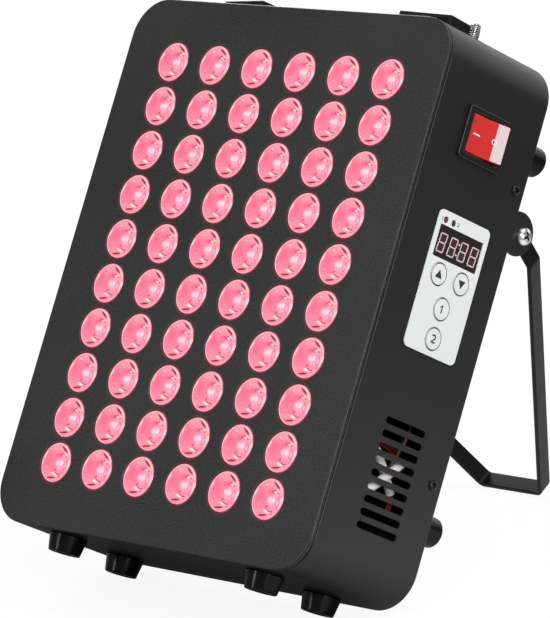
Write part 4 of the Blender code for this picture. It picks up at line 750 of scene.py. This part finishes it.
def rubber_parts():
    profile = soften([(10.5, 0), (8.8, -9.7), (4.4, -9.7), (4.4, -4.7), (2, -4.7), (2, 0)], 0.7, 3)
    places = [at(x, y, -ROOF - 0.05) for x in (-76, 76) for y in (19.2, 63.8)]
    pieces("rubber_foot", "foot", turned(profile, 40, True), places, "black_rubber", 50)
    profile = soften([(8.2, 0), (8.2, 14.7), (4.4, 14.7), (4.4, 6.5), (0, 6.5)], 0.9, 4, False)
    places = [on("back", i * 107.7, REAR_FACE + OVER, j * 102.5) for i, j in CORNERS]
    pieces("rubber_buffer", "rear_buffer", turned(profile, 40), places, "black_rubber", 50)


def threaded_end(radius, low, high, pitch=1.0, sides=28, depth=0.45):
    """Bolt end with a helical thread and a chamfered tip."""
    steps = round((high - low) / pitch * 6)
    sections = []
    for height in (low + (high - low) * step / steps for step in range(steps + 1)):
        ring = []
        for side in range(sides):
            groove = abs((height / pitch - side / sides) % 1 - 0.5) * 2
            reach = min(radius - depth * groove, radius - 0.9 + (high - height) * 1.1)
            angle = TURN * side / sides
            ring.append((reach * cos(angle), reach * sin(angle), height))
        sections.append(ring)
    return Shape().shut(sections)


# Middle on the roof, turn in degrees and places of the bolts along the strap
STRAPS = {"left": ((-69.3, 41.5), -9.7, (-22, 22)), "right": ((66.3, 41.5), 3.6, (-22, 25.2))}


def straps():
    """Bridge-shaped straps on the roof, each turned a little about its middle, with two bolt ends."""
    top = 18.4
    reach = top + 10.4
    rise = 10.3
    outline = [(reach, 0), (reach, 2), (top, 2), (top, rise), (-top, rise), (-top, 2), (-reach, 2),
               (-reach, 0), (2 - top, 0), (2 - top, rise - 2), (top - 2, rise - 2), (top - 2, 0)]
    strap = slab([soften(outline, 0.9, 3)], -12.6, 12.6, 0.3, 0.3)
    hole = turned([(0, 6), (3.1, 6), (3.1, -4), (0, -4)], 24)
    bolt = threaded_end(2.9, -4, 10.4)
    number = 0
    for side, (middle, angle, bolts) in STRAPS.items():
        place = at(*middle, ROOF) @ spun(radians(angle))
        cuts = Shape().add(hole, *[place @ at(x, 0) for x in bolts])
        shape = combine(Shape().add(strap, place @ on("front", 0, 0, OVER)), cuts, "DIFFERENCE")
        piece(f"strap_{side}", shape, "strap_coat", nodes=[f"hanging_strap_{side}"])
        for x in bolts:
            number += 1
            piece(f"bolt_end_{number}", Shape().add(bolt, place @ at(x, 0)), "plated_steel",
                  nodes=[f"strap_bolt_{number}"], smooth=30)


# Folding stand

ARM_LEVEL = 117.25
ARM_START = 20
FOOT_HALF = 22.5
STAND_REACH = 205.4
STAND_BEND = 4
BAR = (2.6, 9.7)
BAR_DROP = 0.25
EYE_SHIFT = 1.1
STAND_ANGLE = radians(29.4)


def stand_path():
    """Middle line of the bent bar, from one pivot to the other."""
    arm = [(ARM_LEVEL, 0), (ARM_LEVEL, ARM_START), (FOOT_HALF, STAND_REACH)]
    corners = [Vector(point) for point in [(-x, y) for x, y in arm] + arm[::-1]]
    path = [corners[0]]
    for before, corner, after in zip(corners, corners[1:], corners[2:]):
        inward = (before - corner).normalized()
        outward = (after - corner).normalized()
        half = inward.angle(outward) / 2
        centre = corner + (inward + outward).normalized() * STAND_BEND / sin(half)
        run = STAND_BEND / tan(half)
        start, end = [(corner + way * run - centre).normalized() for way in (inward, outward)]
        path += [centre + start.slerp(end, step / 8) * STAND_BEND for step in range(9)]
    return [*path, corners[-1]]


def folding_stand():
    """Flat bar bent to a wide V, with an eye at each pivot."""
    path = stand_path()
    section = rounded_box(*BAR, 0.55, 3, (0, -BAR_DROP))
    foot = max(point.y for point in path)
    sections = []
    for index, point in enumerate(path):
        ahead = (path[min(index + 1, len(path) - 1)] - path[max(index - 1, 0)]).normalized()
        side = Vector((-ahead.y, ahead.x))
        shift = EYE_SHIFT * (1 - point.y / foot)
        sections.append([(*(point + side * across), along + shift) for across, along in section])
    shape = Shape().shut(sections)
    eye = slab([circle(5.4, 40), circle(2.8, 20)], -BAR[0] / 2, BAR[0] / 2, 0.4, 0.4)
    drill = turned([(0, 5), (2.8, 5), (2.8, -5), (0, -5)], 20)
    for side in (-1, 1):
        place = on("right", side * ARM_LEVEL, 0, EYE_SHIFT)
        shape = combine(shape, Shape().add(eye, place), "UNION")
        shape = combine(shape, Shape().add(drill, place), "DIFFERENCE")
    shape.moved(at(0, *PIVOT) @ spun(-STAND_ANGLE, "X"))
    piece("folding_stand", shape, "stand_coat", body="stand", nodes=["stand_bracket"], smooth=40)


# Switch and control panel


def ring_mark(radius, width, low, high, middle=(0, 0), sides=32):
    rims = [circle(radius + half, sides, middle) for half in (width / 2, -width / 2)]
    return slab(rims, low, high, 0)


def printed(points, height):
    """A sharp-edged mark that stands a little proud."""
    return slab([points], 0, height, 0)


def rocker_switch():
    """Glossy bezel round a red rocker whose rear half stands up."""
    bezel = slab([rounded_box(33.2, 28.5, 1.8, 5, (0, 0.3)), rounded_box(26.6, 21.8, 0.6, 3, (0.7, 0.6))],
                 0.05, 2, 0.7, 0, 4)
    block = rounded_box(30.6, 25.4, 0.6, 2)
    body = slab([block, rounded_box(28, 21.8, 0.6, 2, (0, 0.6))], -15.7, 0.1, 0)
    body.add(slab([block], -17, -15.7, 0))
    body.add(slab([rounded_box(6, 0.8, 0.2, 1)], -25, -16.9, 0), *[at(x, 0) for x in (-8, 0, 8)])
    shape = bezel.add(body).moved(on("right", WALL, *SWITCH))
    piece("switch_frame", shape, "black_plastic", nodes=["switch_body"])
    lift = radians(9)
    half = 13.22
    front = half - 1.6
    ridge = 3
    rise = tan(lift)
    section = soften([(ridge + half * rise, half), (0, half), (-4, half * 0.8), (-4, -half * 0.8),
                      (0, -front), (ridge + front * rise, -front)], 0.6, 3, False)[1:-1]
    section = [(ridge, 0), (ridge + 0.97 * half * rise, 0.97 * half), *section,
               (ridge + 0.97 * front * rise, -0.97 * front)]
    rocker = slab([[(y, x) for x, y in section][::-1]], -9.8, 11.1, 0.5, 0.5)
    # local x towards the back, local y out of the wall, local z along the pivot: turned onto the panel
    axes = Matrix(((0, 1, 0), (1, 0, 0), (0, 0, 1))).transposed().to_4x4()
    place = at(WALL - 1.6, *SWITCH) @ spun(-lift) @ axes
    piece("rocker_cap", rocker.moved(place), "rocker_red", body="rocker", nodes=["rocker"], smooth=30)
    # the two slopes, with local y down the panel
    rear_slope, front_slope = [place @ at(0, ridge) @ spun(angle) @ spun(-TURN / 4, "X")
                               for angle in (lift, -lift)]
    length = half / cos(lift)
    # A painted highlight: a pale patch over the outer half of the rear slope stands for the glare there.
    glare = slab([rounded_box(length * 0.53, 20.1, 0.4, 2, (length * 0.735, -0.65))], -0.1, 0.06, 0.05)
    piece("rocker_glare_patch", Shape().add(glare, rear_slope), "rocker_painted_glare", body="rocker")
    marks = Shape().add(slab([rounded_box(5.2, 0.75, 0.3, 3, (-6.2, -0.65))], -0.05, 0.1, 0), front_slope)
    marks.add(ring_mark(1.3, 0.42, -0.05, 0.1, (length * 0.47, -0.65), 28), rear_slope)
    piece("rocker_marks", marks, "ink_white", body="rocker")


def segment_bar(length, width):
    end = length / 2
    half = width / 2
    return [(end, 0), (end - half, half), (half - end, half),
            (-end, 0), (half - end, -half), (end - half, -half)]


DIGIT_PLACES = (-12.75, -4.3, 4.1, 12.5)
DIGIT_LEVEL = 20.4
SLANT = 0.09


def digit(height, width, stroke):
    """All seven bars of a slanted digit."""
    half = height / 4
    shape = Shape().add(printed(segment_bar(width - 0.35, stroke), 0.12),
                        *[at(0, y) for y in (2 * half - stroke / 2, 0, stroke / 2 - 2 * half)])
    shape.add(printed(segment_bar((height - 0.2) / 2 - stroke * 0.35, stroke), 0.12),
              *[at(i * (width - stroke) / 2, j * half) @ spun(TURN / 4) for i, j in CORNERS])
    lean = Matrix.Identity(4)
    lean[0][1] = SLANT
    return shape.moved(lean)


def triangle(size, up):
    points = [(0, 0.6 * size), (-0.62 * size, -0.45 * size), (0.62 * size, -0.45 * size)]
    return points if up else [(-x, -y) for x, y in points]


def numeral(text, height):
    """A plain one or two, built from bars."""
    stroke = height * 0.2
    half = stroke / 2
    width = height * 0.54
    foot = -height / 2
    if text == "1":
        points = [(-half, foot), (half, foot), (half, -foot), (-0.4 * stroke, -foot),
                  (-width * 0.55, height * 0.28), (-width * 0.55, height * 0.12), (-half, height * 0.27)]
        return printed(points, 0.07)
    centre = (0, -foot - width / 2 - stroke * 0.1)
    outer, inner = [arc(width / 2 + edge, radians(165), radians(-40), 12, centre)
                    for edge in (half, -half)]
    side = width / 2 + half
    points = [*outer, (-width / 2 + stroke * 0.9, foot + stroke), (side, foot + stroke), (side, foot),
              (-side, foot), (-side, foot + stroke * 0.6), *inner[::-1]]
    return printed(points[::-1], 0.07)


def on_fascia(level, x=0, z=0):
    return on("right", level, FASCIA[0] + x, FASCIA[1] + z)


def control_panel():
    """Panel face, display, indicator lamps and printed keys, with the board behind them."""
    level = WALL + OVER
    face = level + 0.7
    screen_face = face - 0.42
    keys = {"up": (-9.05, 4.5), "down": (9.05, 4.5), "red": (0, -11.9), "infrared": (0, -28)}
    lamps = {"red": (-14.5, 32.3), "dark": (-8.3, 32.3)}
    loops = [rounded_box(*FASCIA_SIZE, 3.4, 6), rounded_box(34.8, 16.9, 0.5, 3, (0, 21))]
    loops += [circle(6.3, 48, place) for place in keys.values()]
    loops += [circle(1.8, 20, place) for place in lamps.values()]
    sheet = slab(loops, 0, 0.7, 0.2)
    sheet.add(slab([rounded_box(38, 71.3, 2.5, 4), rounded_box(36, 69.3, 1.5, 4)], -5, 0.05, 0))
    piece("panel_face", sheet.moved(on_fascia(level)), "fascia_grey", nodes=["control_fascia"])
    screen = slab([rounded_box(34.2, 16.3, 0.3, 2, (0, 21))], -5.5, -0.4, 0.1)
    piece("display_window", screen.moved(on_fascia(face)), "display_black", nodes=["display_module"])
    cell = printed(rounded_box(4.2, 4.1, 0.3, 2), 0.05)
    cells = Shape().add(cell, *[at(place + half * 2.6 * SLANT, DIGIT_LEVEL + half * 2.45)
                                for place in DIGIT_PLACES for half in (-1, 1)])
    piece("display_cells", cells.moved(on_fascia(screen_face)), "segment_dark")
    digits = Shape().add(digit(10.4, 5.7, 0.68), *[at(place, DIGIT_LEVEL) for place in DIGIT_PLACES])
    for half in (1, -1):
        digits.add(printed(circle(0.6, 16, (-0.1 + half * 0.26, DIGIT_LEVEL + half * 2.9)), 0.12))
    piece("display_digits", digits.moved(on_fascia(screen_face)), "segment_pale")
    board = slab([rounded_box(38, 71.3, 2.5, 3)], -1.6, 0, 0.1)
    board.add(slab([rounded_box(6, 6, 0.4, 2)], -0.1, 1.5, 0.2), *[at(*place) for place in keys.values()])
    piece("key_board", board.moved(on_fascia(WALL - 5.3)), "board_green", nodes=["control_board"])
    lamp = turned([(0, 0.1), (0.7, 0), (1.1, -0.3), (1.1, -0.7), (1.5, -0.7), (1.5, -6.2), (0, -6.2)], 20)
    for name, place in lamps.items():
        piece(f"indicator_{name}", Shape().add(lamp, on_fascia(face, *place)), f"lamp_{name}")
    cap = turned([(0, 0.2), (5.6, 0.2), (5.82, 0.14), (5.95, 0), (5.95, -1.5), (1.6, -1.5), (1.6, -3.9),
                  (0, -3.9)], 48)
    marks = [printed(triangle(4.3, up), 0.07) for up in (True, False)]
    marks += [numeral(text, 4.4) for text in "12"]
    for mark, (name, place) in zip(marks, keys.items()):
        base = on_fascia(face, *place)
        body = f"key_{name}"
        piece(f"key_cap_{name}", Shape().add(cap, base), "key_grey", body, [f"button_{name}"])
        mark.add(ring_mark(5.72, 0.38, 0, 0.05, sides=48))
        piece(f"key_mark_{name}", mark.moved(base @ at(0, 0, 0.19)), "ink_black", body)
    small = Shape().add(numeral("1", 1.9), at(-17.4, 32.3)).add(numeral("2", 1.9), at(-4.9, 32.3))
    piece("lamp_marks", small.moved(on_fascia(face - 0.005)), "ink_black")


# Back: fans and mains inlet


def fan_blade():
    """Twisted and cambered blade along +x, thin at its edges."""
    sections = []
    for share in (index / 8 for index in range(9)):
        chord = 15 + 3 * share
        pitch = radians(46 - 22 * share)
        ring = []
        for side in (1, -1):
            for along in (side * (step / 4 - 1) for step in range(8)):
                thick = 0.75 * sqrt(1 - along ** 2) + 0.08
                ring.append((along * chord / 2, side * thick + 1.1 * (1 - along ** 2)))
        sections.append([(14.5 + 22 * share, x * cos(pitch) - y * sin(pitch),
                          6.5 + x * sin(pitch) + y * cos(pitch)) for x, y in ring])
    return Shape().shut(sections)


def fans():
    """Fan frames with motor plate and struts, and their bladed rotors."""
    for middle, side in zip(FAN_MIDDLES, ("left", "right")):
        holes = [circle(2.1, 16, (i * FAN_HOLE, j * FAN_HOLE)) for i, j in CORNERS]
        shell = slab([rounded_box(80, 80, 5, 5), circle(38, 64), *holes], -20, 0, 0.6, 0.6)
        shell.add(turned([(0, 0), (16, 0), (16.5, -0.5), (16.5, -3), (0, -3)], 40))
        shell.add(slab([rounded_box(24, 3.4, 0.5, 2, (27.5, 0))], -3, -0.1, 0.4),
                  *[spun((quarter + 0.5) * TURN / 4) for quarter in range(4)])
        piece(f"fan_{side}_shroud", shell.moved(on("back", middle, 81.1, FAN_HEIGHT)), "fan_plastic",
              nodes=[f"fan_{side}_frame"])
        places = [on("back", middle + i * FAN_HOLE, REAR_FACE + 0.02, FAN_HEIGHT + j * FAN_HOLE)
                  for i, j in CORNERS]
        piece(f"fan_{side}_screws", Shape().add(pan_head(*M3_SCREW, 6, 20), *places), "black_screw")
        hub = turned([(0, 13), (14.8, 13), (16, 12.6), (16.5, 11.6), (16.5, 0), (0, 0)], 48)
        hub.add(fan_blade(), *[spun(blade * TURN / 7) for blade in range(7)])
        rotor = hub.moved(on("front", middle, 77.8, FAN_HEIGHT))
        piece(f"fan_{side}_blades", rotor, "fan_plastic", body=f"fan_{side}", nodes=[f"fan_{side}_rotor"])


def mains_inlet():
    """Flanged three-pin inlet with a recessed socket."""
    mouth = rounded_box(24, 16.4, 3, 5)
    screws = (-20, 20)
    flange = slab([rounded_box(49, 22.4, 10, 8), mouth, *[circle(1.8, 16, (x, 0)) for x in screws]],
                  -1.8, 0.2, 0.5)
    block = rounded_box(27, 19.6, 1, 3)
    flange.add(slab([block, mouth], -14, -1.7, 0))
    flange.add(slab([block], -20, -13.9, 0))
    spots = [at(*spot) for spot in ((-7, -2), (7, -2), (0, 3))]
    pins = Shape().add(slab([rounded_box(2, 4, 0.5, 3)], -14, -2.8, 0.4), *spots)
    pins.add(slab([rounded_box(0.8, 6, 0.2, 1)], -28, -19.9, 0), *spots)
    place = on("back", INLET[0], REAR_FACE + 2, INLET[1])
    piece("inlet_socket", flange.moved(place), "black_plastic", nodes=["mains_inlet"])
    piece("inlet_pins", pins.moved(place), "plated_steel")
    places = [on("back", INLET[0] + x, REAR_FACE + 2.25, INLET[1]) for x in screws]
    pieces("inlet_bolt", "inlet_screw", pan_head(*M3_SCREW, 7), places, "black_screw")


def keep_inside():
    """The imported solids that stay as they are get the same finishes."""
    finishes = {
        "heat_sink": "bare_aluminium", "power_supply": "supply_case", "terminal_block": "terminal_white",
        "mains_wire": "wire_red", "switch_wire": "wire_black", "supply_wire": "wire_white",
        "control_wire": "wire_white", "light_wire": "wire_black",
    }
    for name in NODES:
        if name.startswith(("board_nut", "pivot_nut", "foot_screw")):
            finishes[name] = "plated_steel"
    for name, finish in finishes.items():
        NODES[name].data.materials.clear()
        NODES[name].data.materials.append(LOOKS[finish])


def tube(path, radius, sides=14):
    """A round wire or sleeve along a path."""
    path = [Vector(point) for point in path]
    sections = []
    for index, point in enumerate(path):
        ahead = path[min(index + 1, len(path) - 1)] - path[max(index - 1, 0)]
        turn = ahead.to_track_quat("Z", "X")
        sections.append([tuple(point + turn @ Vector((*spot, 0))) for spot in circle(radius, sides)])
    return Shape().shut(sections)


def vent_wires():
    """Sleeved wires that show through the right-hand vents."""
    sleeves = tube(bow((114, 34.6, -96), (114.4, 44, -88), (113.6, 55.6, -75.6)), 2.5)
    sleeves.add(tube(bow((109.4, 38, -72.5), (109.8, 50, -83.5), (109, 58, -92)), 2.4))
    piece("wire_sleeves", sleeves, "wire_white")
    wires = Shape()
    for shift in (-1, 1):
        lower = (109, 57.6 + shift, -91), (109, 61 + shift, -95), (106, 62 + shift, -102)
        upper = (104, 43, -68 + shift), (104, 51, -67.6 + shift), (103, 59, -70.5 + shift)
        wires.add(tube(bow(*lower), 0.8)).add(tube(bow(*upper), 0.9))
    piece("sleeve_wires", wires, "wire_red")


# Camera, floor and lights


def camera():
    """The photograph's camera, fitted to the grid of lenses."""
    place = Vector((1.75586, -1.68780, 0.70391))
    ahead = Vector((-0.70892, 0.66842, -0.22504)).normalized()
    right = Vector((0.69918, 0.70795, -0.09979))
    up = right.cross(ahead).normalized()
    right = ahead.cross(up)
    data = bpy.data.cameras.new("camera")
    data.sensor_width = 36
    data.lens = 269.06
    data.clip_start = 0.1
    data.clip_end = 50
    bpy.context.scene.camera = made = linked("camera", data)
    made.matrix_world = Matrix.Translation(place) @ Matrix((right, up, -ahead)).transposed().to_4x4()


def area_light(name, place, size, power, target=(0, 0, 0.15)):
    data = bpy.data.lights.new(name, "AREA")
    data.shape = "RECTANGLE"
    data.size, data.size_y = size
    data.energy = power
    light = linked(name, data)
    light.location = place
    light.visible_camera = False
    light.rotation_mode = "QUATERNION"
    light.rotation_quaternion = (Vector(target) - Vector(place)).to_track_quat("-Z", "Y")


WORLD_LEVEL = 0.4
FLOOR_BOUNCE = 0.12
FLOOR_TONE = 0.9
# Ellipses of painted light and shade on the floor, as the lamp mirrors it: bright paper near by, a painted
# shade under the casing and a painted bright patch beside it. Middle, half sizes, levels inside and
# outside, and where one turns into the other
FLOOR_FIELDS = (((0.05, 0.05), (1, 1), 0.75, 0.22, 0.2, 0.75),
                ((-0.03, -0.09), (0.14, 0.1), 0.05, 1, 0.85, 1.25),
                ((0.27, -0.03), (0.2, 0.2), 0.58, 0, 0.4, 1))


def floor_paper():
    """Pale paper; its mirror image in the lamp has painted light near by and a painted shade under the
    casing.
    """
    look = Look("floor_paper", (1, 1, 1), 0.9)
    paper = look.node("TexCoord").outputs["Object"]
    path = look.node("LightPath").outputs
    near, shade, bright_patch = [look.spread(look.reach(paper, middle, size), *levels, smooth=True)
                         for middle, size, *levels in FLOOR_FIELDS]
    lit = look.math("ADD", look.math("MULTIPLY", near, shade), bright_patch)
    mirrored = look.spread(path["Is Glossy Ray"], 1, lit)
    plain = look.math("MAXIMUM", path["Is Camera Ray"], path["Is Glossy Ray"])
    plain = look.math("MAXIMUM", plain, path["Is Transmission Ray"])
    look.set(look.shader, {"Base Color": look.spread(plain, FLOOR_BOUNCE, FLOOR_TONE)})
    white = look.node("Emission", {"Strength": mirrored}).outputs[0]
    share = look.spread(plain, 0, FLOOR_TONE)
    blend = look.node("MixShader", {0: share, 1: look.shader.outputs[0], 2: white})
    look.set(look.tree.nodes["Material Output"], {"Surface": blend.outputs[0]})
    return look.material


def studio():
    """Plain pale floor, white surroundings and soft lights."""
    scene = bpy.context.scene
    scene.view_settings.view_transform = "Standard"
    scene.world = bpy.data.worlds.new("surroundings")
    sky = Nodes(scene.world)
    path = sky.node("LightPath").outputs
    seen = sky.math("MAXIMUM", path["Is Camera Ray"], path["Is Transmission Ray"])
    level = sky.spread(seen, WORLD_LEVEL, 1)
    sky.set(sky.tree.nodes["Background"], {"Color": (1, 1, 1, 1), "Strength": level})

    mesh = bpy.data.meshes.new("floor")
    mesh.from_pydata([(-6, -6, 0), (6, -6, 0), (6, 6, 0), (-6, 6, 0)], [], [(0, 1, 2, 3)])
    mesh.materials.append(floor_paper())
    floor = linked("floor", mesh)
    floor.location.z = -0.5 * MM

    area_light("key", (-1.2, -2.4, 2.0), (1.6, 1.6), 18)
    area_light("streak", (-0.66, -2.54, 1.04), (0.26, 1.0), 15, (0, 0, 0.05))
    area_light("fill", (2.6, -0.8, 0.5), (1.2, 0.8), 26)
    area_light("top", (1.2, 0.5, 2.6), (1.6, 1.6), 42)
    area_light("back", (0.3, 2.8, 0.9), (4.0, 1.0), 12)
    area_light("edge_top", (-2.1, 1.4, 1.6), (1.0, 1.0), 30)
    area_light("edge_right", (2.0, -1.5, 1.5), (1.0, 1.0), 32)


for build in (camera, studio, make_looks, front_pan, lens_field, casing_shell, rear_shell, fasteners,
              rubber_parts, straps, folding_stand, rocker_switch, control_panel, fans, mains_inlet,
              keep_inside, vent_wires):
    build()
